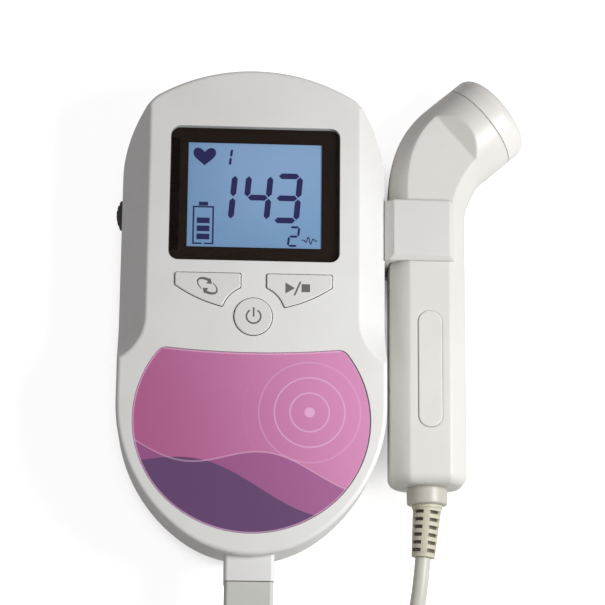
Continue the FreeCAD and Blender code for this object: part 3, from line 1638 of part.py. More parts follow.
def probe_shells():
    """The probe's front and rear shells, parted at the height of its axis."""
    form = probe_form("ProbeOuter", 0 * S.probe_wall)
    hollow = trim("ProbeHollow", form, probe_form("ProbeInner", S.probe_wall, PAST))
    middle = S.probe_z
    inner_z = S.handle_z - S.probe_wall + S.root_depth
    pilot = S.probe_screw_radius + S.screw_gap

    upper = overlap("ProbeFrontHalf", hollow, box("AboveAxis", (-FAR, FAR), (-FAR, FAR), (middle, FAR)))
    front_bosses = rods(
        "ProbeFrontBoss", S.probe_boss_radius, PROBE_BOSSES, PROBE_BOARD_HIGH, middle + inner_z)
    badge_seat = prism(
        "BadgeSeat", lambda sketch: badge_outline(sketch, S.badge_gap),
        HANDLE_TOP_Z + S.badge_proud - S.badge_thick, HANDLE_TOP_Z + PAST)
    pilots = rods("ProbePilot", pilot, PROBE_BOSSES, PROBE_BOARD_HIGH - PAST,
                  PROBE_SCREW_SEAT + S.probe_screw_length + S.pilot_spare)
    keep("probe_front_shell", trim(
        "ProbeFrontShell", merge("ProbeFrontSolid", upper, *front_bosses), badge_seat,
        collar_hole("FrontCollarHole"), *pilots))

    lower = overlap("ProbeRearHalf", hollow, box("BelowAxis", (-FAR, FAR), (-FAR, FAR), (-FAR, middle)))
    rear_bosses = rods(
        "ProbeRearBoss", S.probe_boss_radius, PROBE_BOSSES, middle - inner_z, PROBE_BOARD_LOW)
    heads = rods(
        "ProbeHeadHole", S.probe_screw_head_radius + S.fit_gap, PROBE_BOSSES, 0, PROBE_SCREW_SEAT)
    shanks = rods("ProbeShankHole", pilot, PROBE_BOSSES, 0, middle)
    keep("probe_rear_shell", trim(
        "ProbeRearShell", merge("ProbeRearSolid", lower, *rear_bosses), collar_hole("RearCollarHole"),
        *heads, *shanks))


def probe_screws():
    spots = [(x, y, PROBE_SCREW_SEAT) for x, y in PROBE_BOSSES]
    return keep("probe_screws", group("ProbeScrews", *[
        screw(f"ProbeScrew{number}", spot, "z", S.probe_screw_radius, S.probe_screw_length,
              S.probe_screw_head_radius, S.probe_screw_head_height)
        for number, spot in enumerate(spots, start=1)
    ]))


def probe_board():
    """The probe's circuit board, held between the two pairs of bosses."""
    half = S.handle_x - S.probe_wall - S.probe_board_gap
    sheet = box(
        "ProbeBoardSheet", (PROBE_X - half, PROBE_X + half),
        (S.probe_board_low_y, S.probe_board_high_y), (PROBE_BOARD_LOW, PROBE_BOARD_HIGH))
    holes = rods("ProbeBoardHole", S.probe_screw_radius + S.screw_gap, PROBE_BOSSES,
                 PROBE_BOARD_LOW - PAST, PROBE_BOARD_HIGH + PAST)
    return keep("probe_board", trim("ProbeBoard", sheet, *holes))


def probe_badge():
    high = HANDLE_TOP_Z + S.badge_proud
    badge = prism("ProbeBadge", badge_outline, high - S.badge_thick, high)
    round_edges(badge, at_height(high), S.badge_edge)
    return keep("probe_badge", badge)


# ---------------------------------------------------------------- probe cap and crystals

CAP_FOOT = (HEAD_X, S.head_y, S.probe_z)
CAP_BORE = S.head_radius - S.probe_wall - S.cap_spigot_gap - S.cap_spigot_wall
CRYSTAL_END = S.cap_face - S.cap_wall


def probe_cap():
    """The domed cap, with a fine line at its seam and the spigot that enters the head."""
    rise = S.cap_dome - S.cap_face
    dome = (S.cap_face_radius * S.cap_face_radius + rise * rise) / (2 * rise)
    seam_radius = S.head_radius - S.cap_line_depth
    profile = [
        (seam_radius, 0), (seam_radius, S.cap_line), (S.head_radius, S.cap_line),
        (S.head_radius, S.cap_wall_length), (S.cap_face_radius, S.cap_face), (0, S.cap_dome),
        (0, CRYSTAL_END), (CAP_BORE, CRYSTAL_END), (CAP_BORE, -S.cap_spigot_length),
        (CAP_BORE + S.cap_spigot_wall, -S.cap_spigot_length), (CAP_BORE + S.cap_spigot_wall, 0),
    ]
    arcs = {3: S.cap_edge, 4: dome}
    return keep("probe_cap", turned("ProbeCap", profile, CAP_FOOT, HEAD_DIRECTION, arcs))


def crystal(node, low_z, high_z):
    """One half-round crystal behind the cap's face."""
    name = node.title().replace("_", "")
    x, y = head_place(CRYSTAL_END - S.crystal_thick)
    disc_body = rod(f"{name}Disc", S.crystal_radius, (x, y, S.probe_z), S.crystal_thick, HEAD_DIRECTION)
    half = box(f"{name}Half", (-FAR, FAR), (-FAR, FAR), (low_z, high_z))
    return keep(node, overlap(name, disc_body, half))


def crystals():
    crystal("transmit_crystal", S.probe_z + S.crystal_gap / 2, FAR)
    crystal("receive_crystal", -FAR, S.probe_z - S.crystal_gap / 2)
    length = CRYSTAL_END - S.crystal_thick
    keep("crystal_backing", rod(
        "CrystalBacking", CAP_BORE - S.backing_gap, CAP_FOOT, length, HEAD_DIRECTION))


# ---------------------------------------------------------------- collar and strain relief

def probe_collar():
    """The round collar; its neck and inner flange are held by the probe's shells."""
    wall = S.probe_wall
    length = S.collar_length
    profile = [
        (0, -wall - S.collar_flange_thick), (S.collar_flange_radius, -wall - S.collar_flange_thick),
        (S.collar_flange_radius, -wall), (S.collar_neck_radius, -wall), (S.collar_neck_radius, 0),
        (S.collar_radius, 0), (S.collar_radius, length - S.collar_edge),
        (S.collar_radius - S.collar_edge, length), (0, length),
    ]
    return keep("probe_collar", turned("ProbeCollar", profile, COLLAR_FOOT, "-y", {6: S.collar_edge}))


def probe_relief():
    """The strain relief, leaning a little with the cord: rows of four slots round a core."""
    end_y = S.handle_bottom_y - S.collar_length
    seat = rod(
        "ReliefSeat", S.relief_seat_radius, (PROBE_X, end_y, S.probe_z), S.relief_seat_length, "-y")
    way = FreeCAD.Vector(-sine(S.relief_lean).value, -cosine(S.relief_lean).value, 0)
    body = turned("ReliefCone", [
        (0, 0), (S.relief_radius, 0), (S.relief_tip_radius, S.relief_length), (0, S.relief_length),
    ], (PROBE_X, end_y - S.relief_seat, S.probe_z), way)
    rib = S.relief_rib / 2
    core = root(S.relief_core * S.relief_core - rib * rib)
    rim = root(S.relief_cut_radius * S.relief_cut_radius - rib * rib)
    sketch = sketch_on(body, "Slots", lift=S.relief_first + S.relief_slot)
    corners = [(core, rib), (rim, rib), (rib, rim), (rib, core)]
    for quarter in range(4):
        outline(sketch, corners, {1: S.relief_cut_radius, 3: -S.relief_core})
        corners = [(-size_of(y), x) for x, y in corners]
    row = pocket(body, sketch, S.relief_slot)
    rows = body.newObject("PartDesign::LinearPattern", "SlotRows")
    rows.Originals = [row]
    rows.Direction = (origin_plane(body, "Z_Axis"), [""])
    bind(rows, "Length", S.relief_pitch * (S.relief_slots - 1))
    bind(rows, "Occurrences", S.relief_slots)
    body.Tip = rows
    DOC.recompute()
    return keep("probe_relief", merge("ProbeRelief", seat, body))


# ---------------------------------------------------------------- cord

PROBE_RUN = [
    (47.6473, -65.1475, 15.0),
    (47.0197, -72.3201, 15.0),
    (45.8, -82.2, 13.8),
    (43.9, -93.5, 11.3),
    (42.9, -105.0, 8.2),
    (43.6, -117.0, 5.3),
    (45.2, -128.2, 3.3),
    (45.7, -138.0, 2.75),
]
PLUG_RUN = [
    (0.0, -98.1, 24.0),
    (0.0, -105.5, 24.0),
    (-1.5, -114.0, 22.3),
    (-4.1, -122.5, 19.2),
    (-6.5, -130.5, 16.6),
    (-7.5, -138.0, 15.95),
]


def rounded_path(points):
    """A wire of straight runs joined by arcs that meet them without a kink, and the arc radii."""
    corners = [FreeCAD.Vector(*point) for point in points]
    edges = []
    radii = []
    start = corners[0]
    for before, corner, after in zip(corners, corners[1:], corners[2:]):
        way_in = (corner - before).normalize()
        way_out = (after - corner).normalize()
        half_turn = way_in.getAngle(way_out) / 2
        setback = 0.45 * min((corner - before).Length, (after - corner).Length)
        radius = setback / math.tan(half_turn)
        first = corner - way_in * setback
        last = corner + way_out * setback
        middle = corner + (way_out - way_in).normalize() * radius * (1 / math.cos(half_turn) - 1)
        edges.append(Part.LineSegment(start, first).toShape())
        edges.append(Part.Arc(first, middle, last).toShape())
        radii.append(radius)
        start = last
    edges.append(Part.LineSegment(start, corners[-1]).toShape())
    return Part.Wire(edges), radii


def tube(node, points):
    """A round cord along a path of points."""
    wire, radii = rounded_path(points)
    name = node.title().replace("_", "")
    path = DOC.addObject("Part::Feature", f"{name}Path")
    path.Shape = wire
    ring = DOC.addObject("Part::Circle", f"{name}Section")
    bind(ring, "Radius", S.cord_radius)
    way = (FreeCAD.Vector(*points[1]) - FreeCAD.Vector(*points[0])).normalize()
    ring.Placement = FreeCAD.Placement(FreeCAD.Vector(*points[0]), FreeCAD.Rotation(DIRECTIONS["z"], way))
    sweep = DOC.addObject("Part::Sweep", name)
    sweep.Sections = [ring]
    sweep.Spine = (path, [f"Edge{place + 1}" for place in range(len(wire.Edges))])
    sweep.Solid = True
    DOC.recompute()
    expected = math.pi * S.cord_radius.value ** 2 * wire.Length
    if abs(sweep.Shape.Volume - expected) > 0.01 * expected:
        raise ValueError(f"{node}: volume {sweep.Shape.Volume:.1f}, expected {expected:.1f}")
    print(f"{node}: length {wire.Length:.1f}, arc radii {', '.join(f'{radius:.1f}' for radius in radii)}")
    return keep(node, sweep)


def cord_coil():
    """The rest of the cord, wound in a tied coil; one solid of its outer shape."""
    inner = S.coil_turn_in - S.cord_radius
    outer = S.coil_turn_out + S.cord_radius
    low = S.coil_rest_z
    high = low + (S.coil_layers - 1) * S.coil_pitch + 2 * S.cord_radius
    edge = S.coil_edge
    profile = [
        (inner + edge, low), (outer - edge, low), (outer, low + edge), (outer, high - edge),
        (outer - edge, high), (inner + edge, high), (inner, high - edge), (inner, low + edge),
    ]
    return keep("cord_coil", turned("CordCoil", profile, (S.coil_x, S.coil_y, 0)))


# ---------------------------------------------------------------- whole assembly

def build():
    outer = casing_form("CasingOuter", 0 * S.wall)
    inner = casing_form("CasingInner", S.wall, sharp_front=True)
    casing = trim("CasingShell", outer, inner)
    front_shell(casing)
    rear_shell(casing)
    casing_screws()
    battery_cover()
    battery_cell("upper_cell", 1)
    battery_cell("lower_cell", -1)
    plate_contacts()
    spring_contacts()
    speaker_parts()
    display_window()
    display_mask()
    lcd_panel()
    backlight()
    lcd_holder()
    main_board()
    board_screws()
    processor_chip()
    keys()
    tact_switch("mode_switch", -S.side_key_stem_x, S.side_key_stem_y)
    tact_switch("start_stop_switch", S.side_key_stem_x, S.side_key_stem_y)
    tact_switch("power_switch", 0, S.power_y)
    label()
    volume_wheel()
    volume_pot()
    earphone_jack()
    probe_socket()
    probe_clip()
    clip_screws()
    probe_shells()
    probe_screws()
    probe_board()
    probe_badge()
    probe_cap()
    crystals()
    probe_collar()
    probe_relief()
    probe_plug()
    plug_relief()
    tube("cord_probe_run", PROBE_RUN)
    tube("cord_plug_run", PLUG_RUN)
    cord_coil()


def write_parts():
    """Checks every object and every sub-part, then writes one file per sub-part."""
    for item in DOC.Objects:
        if "Invalid" in item.State or "Error" in item.State:
            raise ValueError(f"{item.Name}: {item.getStatusString()}")
    for node, item in PARTS.items():
        shape = item.Shape
        if shape.isNull() or not shape.isValid() or not shape.Solids:
            raise ValueError(f"{node}: its shape is not a valid solid")
    os.makedirs("parts", exist_ok=True)
    for node, item in PARTS.items():
        item.Shape.exportStep(f"parts/{node}.step")
    print(f"{len(PARTS)} sub-parts written")


build()
write_parts()
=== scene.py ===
"""Looks for a hand-held heartbeat listener: a monitor with a display, a probe in its clip and a coiled cord.

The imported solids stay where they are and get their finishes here. The cord, its tie, the display's
signs and the marks on the keys are new pieces. Lengths in this file are millimetres in the shared frame:
+Y is towards the top of the display, +X towards the probe and +Z out of the face.
"""

from __future__ import annotations

import logging
import math
from dataclasses import dataclass, field
from enum import Enum

import bpy
import numpy as np
from mathutils import Matrix, Vector


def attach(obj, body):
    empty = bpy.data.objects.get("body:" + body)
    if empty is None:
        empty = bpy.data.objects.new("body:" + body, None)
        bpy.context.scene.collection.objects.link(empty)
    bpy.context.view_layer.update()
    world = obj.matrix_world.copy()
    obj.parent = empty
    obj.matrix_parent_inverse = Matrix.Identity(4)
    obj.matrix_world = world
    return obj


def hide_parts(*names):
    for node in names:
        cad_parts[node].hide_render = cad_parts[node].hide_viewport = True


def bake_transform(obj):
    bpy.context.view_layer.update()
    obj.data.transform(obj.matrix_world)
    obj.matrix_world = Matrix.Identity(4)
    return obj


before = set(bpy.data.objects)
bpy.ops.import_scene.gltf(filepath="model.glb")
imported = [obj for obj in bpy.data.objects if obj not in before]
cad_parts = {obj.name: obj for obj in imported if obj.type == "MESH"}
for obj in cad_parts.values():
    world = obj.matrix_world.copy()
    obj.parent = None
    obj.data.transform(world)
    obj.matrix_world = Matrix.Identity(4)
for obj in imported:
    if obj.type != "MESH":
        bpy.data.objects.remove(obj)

LOG = logging.getLogger("listener")
MM = 0.001
Colour = tuple[float, float, float, float]
Point = tuple[float, float, float]


def tint(red: float, green: float, blue: float) -> Colour:
    """A colour written in display codes from 0 to 255, as the renderer's linear colour.

    Args:
        red, green, blue: the display codes.

    Returns:
        The linear colour with full alpha.
    """
    codes = np.array([red, green, blue]) / 255
    linear = np.where(codes <= 0.04045, codes / 12.92, ((codes + 0.055) / 1.055) ** 2.4)
    return (float(linear[0]), float(linear[1]), float(linear[2]), 1.0)


def shaded(colour: Colour, factor: float) -> Colour:
    """The colour made lighter or darker by a factor, with its alpha kept."""
    return (colour[0] * factor, colour[1] * factor, colour[2] * factor, colour[3])


# ---------------------------------------------------------------- shader maths


class Value:
    """A socket that carries one number; arithmetic on it adds Math nodes."""

    def __init__(self, book: "NodeBook", socket: bpy.types.NodeSocket) -> None:
        """Keeps the socket and the book that adds its nodes."""
        self.book = book
        self.socket = socket

    def __add__(self, other: "Value | float") -> "Value":
        """The sum."""
        return self.book.math("ADD", self, other)

    __radd__ = __add__

    def __sub__(self, other: "Value | float") -> "Value":
        """The difference."""
        return self.book.math("SUBTRACT", self, other)

    def __rsub__(self, other: float) -> "Value":
        """The number less this value."""
        return self.book.math("SUBTRACT", other, self)

    def __mul__(self, other: "Value | float") -> "Value":
        """The product."""
        return self.book.math("MULTIPLY", self, other)

    __rmul__ = __mul__

    def __pow__(self, other: float) -> "Value":
        """This value raised to a power."""
        return self.book.math("POWER", self, other)

    def wave(self) -> "Value":
        """The sine of this value, in radians."""
        return self.book.math("SINE", self)

    def size(self) -> "Value":
        """This value without its sign."""
        return self.book.math("ABSOLUTE", self)

    def most(self, other: "Value | float") -> "Value":
        """The greater of this value and another."""
        return self.book.math("MAXIMUM", self, other)

    def rise(self, low: float, high: float) -> "Value":
        """A smooth step: 0 below low and 1 above high; low above high turns it round.

        Args:
            low: where the step starts.
            high: where the step ends.

        Returns:
            The step, from 0 to 1.
        """
        if low > high:
            return 1 - self.rise(high, low)
        return self.book.node(
            "ShaderNodeMapRange", {"interpolation_type": "SMOOTHSTEP"},
            {"Value": self, "From Min": low, "From Max": high})


class NodeBook:
    """A material's node tree, and the ways in which this file adds nodes to it."""

    def __init__(self, tree: bpy.types.NodeTree) -> None:
        """Opens a node tree and clears it."""
        self.tree = tree
        self.tree.nodes.clear()

    def node(self, kind: str, settings: dict, inputs: dict, output: int | str = 0) -> Value:
        """Adds one node.

        Args:
            kind: the node's type.
            settings: its properties, which are set first.
            inputs: values or links by socket name or number.
            output: the socket to hand back.

        Returns:
            The output as a Value, or for a closing node its input.
        """
        made = self.tree.nodes.new(kind)
        for key, setting in settings.items():
            setattr(made, key, setting)
        for key, given in inputs.items():
            if isinstance(given, Value):
                self.tree.links.new(given.socket, made.inputs[key])
            else:
                made.inputs[key].default_value = given
        if not made.outputs:
            return Value(self, made.inputs[0])
        return Value(self, made.outputs[output])

    def math(self, operation: str, *values: Value | float) -> Value:
        """A Math node on the values, in their order."""
        return self.node("ShaderNodeMath", {"operation": operation}, dict(enumerate(values)))

    def blend(self, factor: Value | float, first: Value | Colour, second: Value | Colour) -> Value:
        """A colour that goes from the first to the second with the factor."""
        return self.node(
            "ShaderNodeMix", {"data_type": "RGBA"}, {0: factor, 6: first, 7: second}, 2)

    def place(self, turn: Point = (0, 0, 0), stretch: Point = (1, 1, 1)) -> Value:
        """Object coordinates in millimetres, turned about the origin and stretched.

        Args:
            turn: the turn about each axis, in radians.
            stretch: the factor along each axis.

        Returns:
            The coordinates as a vector.
        """
        spot = self.node("ShaderNodeTexCoord", {}, {}, "Object")
        grow = (stretch[0] / MM, stretch[1] / MM, stretch[2] / MM)
        return self.node(
            "ShaderNodeMapping", {"vector_type": "POINT"}, {"Vector": spot, "Rotation": turn, "Scale": grow})

    def axes(self, spot: Value) -> tuple[Value, Value, Value]:
        """The three numbers of a vector.

        Args:
            spot: the vector.

        Returns:
            Its numbers along X, Y and Z.
        """
        parts = self.node("ShaderNodeSeparateXYZ", {}, {0: spot})
        node = parts.socket.node
        return Value(self, node.outputs[0]), Value(self, node.outputs[1]), Value(self, node.outputs[2])

    def noise(self, spot: Value, period: float, detail: float) -> Value:
        """Soft noise whose lumps are one period apart.

        Args:
            spot: coordinates in millimetres.
            period: the distance between lumps.
            detail: how many finer noises lie over the first.

        Returns:
            The noise, from 0 to 1.
        """
        return self.node(
            "ShaderNodeTexNoise", {"noise_dimensions": "3D"},
            {"Vector": spot, "Scale": 1 / period, "Detail": detail, "Roughness": 0.55})

    def bump(self, height: Value, depth: float, under: Value | None = None) -> Value:
        """A surface normal from a height map.

        Args:
            height: the map, from 0 to 1.
            depth: what a height of 1 stands for, in millimetres.
            under: the normal that the map lies on, if it has one.

        Returns:
            The normal.
        """
        inputs = {"Height": height, "Strength": 1.0, "Distance": depth * MM}
        if under is not None:
            inputs["Normal"] = under
        return self.node("ShaderNodeBump", {}, inputs)

    def soft_edges(self, radius: float) -> Value:
        """A surface normal that turns round edges as if they had a radius in millimetres."""
        return self.node("ShaderNodeBevel", {"samples": 6}, {"Radius": radius * MM})

    def surface(self, inputs: dict) -> Value:
        """A surface shader with values or links by socket name."""
        return self.node("ShaderNodeBsdfPrincipled", {}, inputs)

    def finish(self, shader: Value) -> None:
        """Joins the shader to the material's output."""
        self.node("ShaderNodeOutputMaterial", {}, {"Surface": shader})


# ---------------------------------------------------------------- finishes


@dataclass(frozen=True)
class Finish:
    """What every finish has: a name, and a shader that its own class writes."""

    name: str

    def shade(self, book: NodeBook) -> Value:
        """Writes the shader's nodes and returns its output."""
        raise NotImplementedError(self.name)

    def make(self) -> bpy.types.Material:
        """Makes the material.

        Returns:
            A material with this finish's nodes.
        """
        material = bpy.data.materials.new(self.name)
        material.use_nodes = True
        book = NodeBook(material.node_tree)
        book.finish(self.shade(book))
        return material


@dataclass(frozen=True)
class Moulded(Finish):
    """Moulded plastic or rubber: spark-eroded grain, faint mottle and uneven polish."""

    colour: Colour
    rough: float = 0.42
    grain: float = 0.32
    grain_depth: float = 0.012
    mottle: float = 0.035
    cast: Colour = (1.0, 0.992, 0.975, 1.0)
    coat: float = 0.0
    soften: float = 0.15
    cloud_period: float = 17.0
    cloud_depth: float = 0.03
    rub_period: float = 4.5
    fleck: float = 0.24
    fleck_shade: float = 0.9
    polish: float = 0.14
    coat_rough: float = 0.12

    def tone(self, book: NodeBook, spot: Value, colour: Value) -> Value:
        """The colour once a kind of part has added its own; here it stays as it is."""
        return colour

    def shade(self, book: NodeBook) -> Value:
        """Grain is fine noise as bump; mottle and polish are slower noise in colour and roughness.

        Args:
            book: the material's node tree.

        Returns:
            The shader.
        """
        spot = book.place()
        fine = book.noise(spot, self.grain, 3.0)
        cloud = book.noise(spot, self.cloud_period, 3.0)
        rub = book.noise(spot, self.rub_period, 4.0)
        warm = tuple(part * share for part, share in zip(self.colour, self.cast))
        base = book.blend(cloud.rise(0.35, 0.7), self.colour, shaded(warm, 1 - self.mottle))
        flecks = (fine - 0.5) * self.fleck + self.fleck / 2
        colour = book.blend(flecks, base, shaded(self.colour, self.fleck_shade))
        under = book.bump(cloud, self.cloud_depth, book.soft_edges(self.soften))
        return book.surface({
            "Base Color": self.tone(book, spot, colour),
            "Roughness": (rub - 0.5) * self.polish + (fine - 0.5) * 0.1 + self.rough,
            "Coat Weight": self.coat,
            "Coat Roughness": self.coat_rough,
            "Normal": book.bump(fine, self.grain_depth, under),
        })


@dataclass(frozen=True)
class Seamed(Moulded):
    """Plastic with painted shade on its walls down in the gaps round the keys."""

    below: float = 32.95
    above: float = 30.5
    half_wide: float = 19.6
    along_low: float = -9.3
    along_high: float = 11.0
    fade: float = 0.1
    top_fade: float = 0.12
    strength: float = 0.85
    # the colour of the painted shade in the gaps
    gap_shade: Colour = tint(58, 52, 46)

    def tone(self, book: NodeBook, spot: Value, colour: Value) -> Value:
        """Paints shade within the box that holds the keys, only through the front wall.

        Args:
            book: the material's node tree.
            spot: coordinates in millimetres.
            colour: the colour so far.

        Returns:
            The colour with the painted shade.
        """
        across, along, height = book.axes(spot)
        wide = across.size().rise(self.half_wide + self.fade, self.half_wide)
        lower_end = along.rise(self.along_low, self.along_low + self.fade)
        upper_end = along.rise(self.along_high + self.fade, self.along_high)
        under_face = height.rise(self.below, self.below - self.top_fade)
        over_inside = height.rise(self.above, self.above + self.fade)
        # painted shade: the gap walls between the face and the inside are darkened
        deep = under_face * over_inside * wide * (lower_end * upper_end)
        return book.blend(deep * self.strength, colour, self.gap_shade)


@dataclass(frozen=True)
class Slotted(Moulded):
    """Rubber of a leaning, slotted sleeve, with painted shade in the depth of its slots."""

    foot: Point = (48.85, -51.4, 15.0)
    lean: float = math.radians(5.0)
    core: float = 2.7
    dark_from: float = 0.7
    dark_full: float = 0.1
    end_low: float = -64.6
    end_high: float = -64.2
    # the colour of the painted shade in the slots
    deep: Colour = tint(92, 78, 66)

    def tone(self, book: NodeBook, spot: Value, colour: Value) -> Value:
        """Paints shade towards the sleeve's axis, at the depth of its slots, and short of its end.

        Args:
            book: the material's node tree.
            spot: coordinates in millimetres.
            colour: the colour so far.

        Returns:
            The colour with the dark parts.
        """
        across, along, height = book.axes(spot)
        aside = (across - self.foot[0]) * math.cos(self.lean) - (along - self.foot[1]) * math.sin(self.lean)
        far = (aside ** 2.0 + (height - self.foot[2]) ** 2.0) ** 0.5
        # painted shade: darker towards the axis, where the slots go deep
        slots = far.rise(self.core + self.dark_from, self.core + self.dark_full)
        inside = slots * along.rise(self.end_low, self.end_high)
        return book.blend(inside, colour, self.deep)


@dataclass(frozen=True)
class ClearSheet(Finish):
    """Clear acrylic: light passes straight through, and the surface has a gloss that grows at the edges."""

    tone: Colour = (0.97, 0.98, 0.985, 1.0)
    face_on: float = 0.004
    edge_on: float = 0.9
    top: float = 32.7

    def shade(self, book: NodeBook) -> Value:
        """See-through mixed with gloss on the top, by a fifth power of the slope, with faint wipe marks.

        Args:
            book: the material's node tree.

        Returns:
            The shader.
        """
        marks = book.noise(book.place((0, 0, 0.6), (1, 0.12, 1)), 0.9, 3.0)
        _, _, height = book.axes(book.place())
        clear = book.node("ShaderNodeBsdfTransparent", {}, {"Color": self.tone})
        gloss = book.surface({
            "Base Color": (0.02, 0.02, 0.025, 1.0), "Roughness": marks * 0.05 + 0.04,
            "Specular IOR Level": 1.0})
        slope = book.node("ShaderNodeLayerWeight", {}, {"Blend": 0.5}, "Facing")
        share = ((slope ** 5.0) * self.edge_on + self.face_on) * height.rise(self.top - 0.1, self.top - 0.02)
        return book.node("ShaderNodeMixShader", {}, {0: share, 1: clear, 2: gloss})


@dataclass(frozen=True)
class Ink(Finish):
    """A printed or liquid-crystal sign: flat colour with the fine speckle of ink."""

    colour: Colour
    rough: float = 0.55
    speckle: float = 0.12
    gloss: float = 0.5
    dot_period: float = 0.13
    dot_depth: float = 0.003

    def shade(self, book: NodeBook) -> Value:
        """The colour, darker and lighter by a speckle a tenth of a millimetre across.

        Args:
            book: the material's node tree.

        Returns:
            The shader.
        """
        dots = book.noise(book.place(), self.dot_period, 2.0)
        colour = book.blend(
            dots.rise(0.3, 0.7), shaded(self.colour, 1 - self.speckle), shaded(self.colour, 1 + self.speckle))
        return book.surface({
            "Base Color": colour, "Roughness": self.rough, "Specular IOR Level": self.gloss,
            "Normal": book.bump(dots, self.dot_depth)})


@dataclass(frozen=True)
class LitPanel(Finish):
    """The display's lit film: a pale field that pools brighter near the lamps and has faint cell lines."""

    low: Colour
    high: Colour
    centre: tuple[float, float] = (5.0, 42.0)
    pool_edge: float = 34.0
    pool_full: float = 4.0
    squash: float = 1.1
    cell_rate: float = 21.0
    cell_share: float = 0.05
    glow: float = 0.12

    def shade(self, book: NodeBook) -> Value:
        """Brightness falls off from the centre; cell rows and columns show as fine waves in it.

        Args:
            book: the material's node tree.

        Returns:
            The shader.
        """
        across, along, _ = book.axes(book.place())
        far = ((across - self.centre[0]) ** 2.0 + ((along - self.centre[1]) * self.squash) ** 2.0) ** 0.5
        pool = far.rise(self.pool_edge, self.pool_full)
        cloud = book.noise(book.place(), 6.0, 3.0)
        rows = (along * self.cell_rate).wave() * 0.5 + 0.5
        columns = (across * self.cell_rate).wave() * 0.5 + 0.5
        field_colour = book.blend(pool * 0.75 + cloud * 0.25, self.low, self.high)
        colour = book.blend(rows * columns * self.cell_share, field_colour, shaded(self.low, 0.7))
        return book.surface({
            "Base Color": colour, "Roughness": 0.5, "Emission Color": colour,
            "Emission Strength": self.glow})


@dataclass(frozen=True)
class PrintedLabel(Finish):
    """The label's film: a rose field, dark waves low on the left and pale rings spreading from the right."""

    left: Colour
    right: Colour
    deep: Colour
    middle: Colour
    pale: Colour
    ring_centre: tuple[float, float] = (15.5, -29.0)
    ring_step: float = 4.2
    ring_width: float = 0.32
    base: tuple[float, float] = (-28.7, 33.0)
    side: tuple[float, float, float] = (2.1, -31.2456, 29.7)
    top: tuple[float, float] = (227.9, 241.0)
    swell: tuple[float, ...] = (0.13, 0.9, 3.2, 0.17, 42.5)
    roll: tuple[float, ...] = (0.105, 2.9, 3.6, 0.24, 49.0)

    def crest(self, across: Value, wave: tuple[float, ...]) -> Value:
        """A wave's height along Y: a sine of the place along X, less an even fall and a drop.

        Args:
            across: the place along X.
            wave: the sine's rate, phase and height, then the fall and the drop.

        Returns:
            The height.
        """
        rate, phase, tall, fall, drop = wave
        return (across * rate + phase).wave() * tall - across * fall - drop

    def rim(self, across: Value, along: Value) -> Value:
        """1 in a hair's breadth along the label's edge: the base arc, the two side arcs and the top arc.

        The base arc holds below the lines from its centre through the side arcs' centres.

        Args:
            across: the place along X.
            along: the place along Y.

        Returns:
            The rim, from 0 to 1.
        """
        wide = across.size()
        base_y, base_radius = self.base
        side_x, side_y, side_radius = self.side
        top_y, top_radius = self.top
        base = (wide ** 2.0 + (along - base_y) ** 2.0) ** 0.5 - base_radius
        side = ((wide - side_x) ** 2.0 + (along - side_y) ** 2.0) ** 0.5 - side_radius
        top = top_radius - (wide ** 2.0 + (along - top_y) ** 2.0) ** 0.5
        beyond = (wide * ((base_y - side_y) / side_x) + along - base_y).rise(-0.01, 0.01)
        return (base + (side - base) * beyond).most(top).rise(-0.42, -0.32)

    def shade(self, book: NodeBook) -> Value:
        """Each motif is a band of distance or height, laid over the field with soft edges.

        Args:
            book: the material's node tree.

        Returns:
            The shader.
        """
        spot = book.place()
        across, along, _ = book.axes(spot)
        dots = book.noise(spot, 0.22, 2.0)
        cloud = book.noise(spot, 9.0, 3.0)
        slant = across + along * 0.35 + 12.0
        colour = book.blend((slant + (cloud - 0.5) * 5.0).rise(-34.0, 42.0), self.left, self.right)

        far = ((across - self.ring_centre[0]) ** 2.0 + (along - self.ring_centre[1]) ** 2.0) ** 0.5
        turn = (far * (2 * math.pi / self.ring_step)).wave()
        edge = math.cos(math.pi * self.ring_width / self.ring_step)
        rings = turn.rise(edge - 0.06, edge + 0.02) * far.rise(19.5, 8.0) * far.rise(2.2, 2.6)
        heart = far.rise(1.45, 1.3)
        colour = book.blend(rings * 0.62, colour, self.pale)
        colour = book.blend(heart * 0.75, colour, self.pale)

        swell = self.crest(across, self.swell)
        roll = self.crest(across, self.roll)
        colour = book.blend((along - swell).rise(0.1, -0.1) * 0.72, colour, self.middle)
        colour = book.blend((along - roll).rise(0.1, -0.1) * 0.94, colour, self.deep)
        line = (along - swell).size().rise(0.26, 0.14)
        colour = book.blend(line * 0.45, colour, self.pale)

        colour = book.blend((dots - 0.5) * 0.3 + 0.08, colour, self.middle)
        colour = book.blend(self.rim(across, along) * 0.5, colour, self.pale)
        return book.surface({
            "Base Color": colour, "Roughness": (dots - 0.5) * 0.12 + 0.4, "Coat Weight": 0.35,
            "Coat Roughness": 0.2, "Normal": book.bump(dots, 0.006)})


@dataclass(frozen=True)
class Metal(Finish):
    """Plated or drawn metal: fine scratches along one way and dull, handled patches."""

    colour: Colour
    rough: float = 0.28
    turn: Point = (0.0, 0.0, 0.3)

    def shade(self, book: NodeBook) -> Value:
        """Noise stretched one way gives the scratches, slow noise the dull patches.

        Args:
            book: the material's node tree.

        Returns:
            The shader.
        """
        lines = book.noise(book.place(self.turn, (1, 0.08, 1)), 0.12, 2.0)
        patch = book.noise(book.place(), 2.2, 3.0)
        colour = book.blend(patch.rise(0.3, 0.75), self.colour, shaded(self.colour, 0.72))
        return book.surface({
            "Base Color": colour, "Metallic": 1.0,
            "Roughness": lines * 0.18 + patch * 0.14 + self.rough - 0.14,
            "Normal": book.bump(lines, 0.004)})


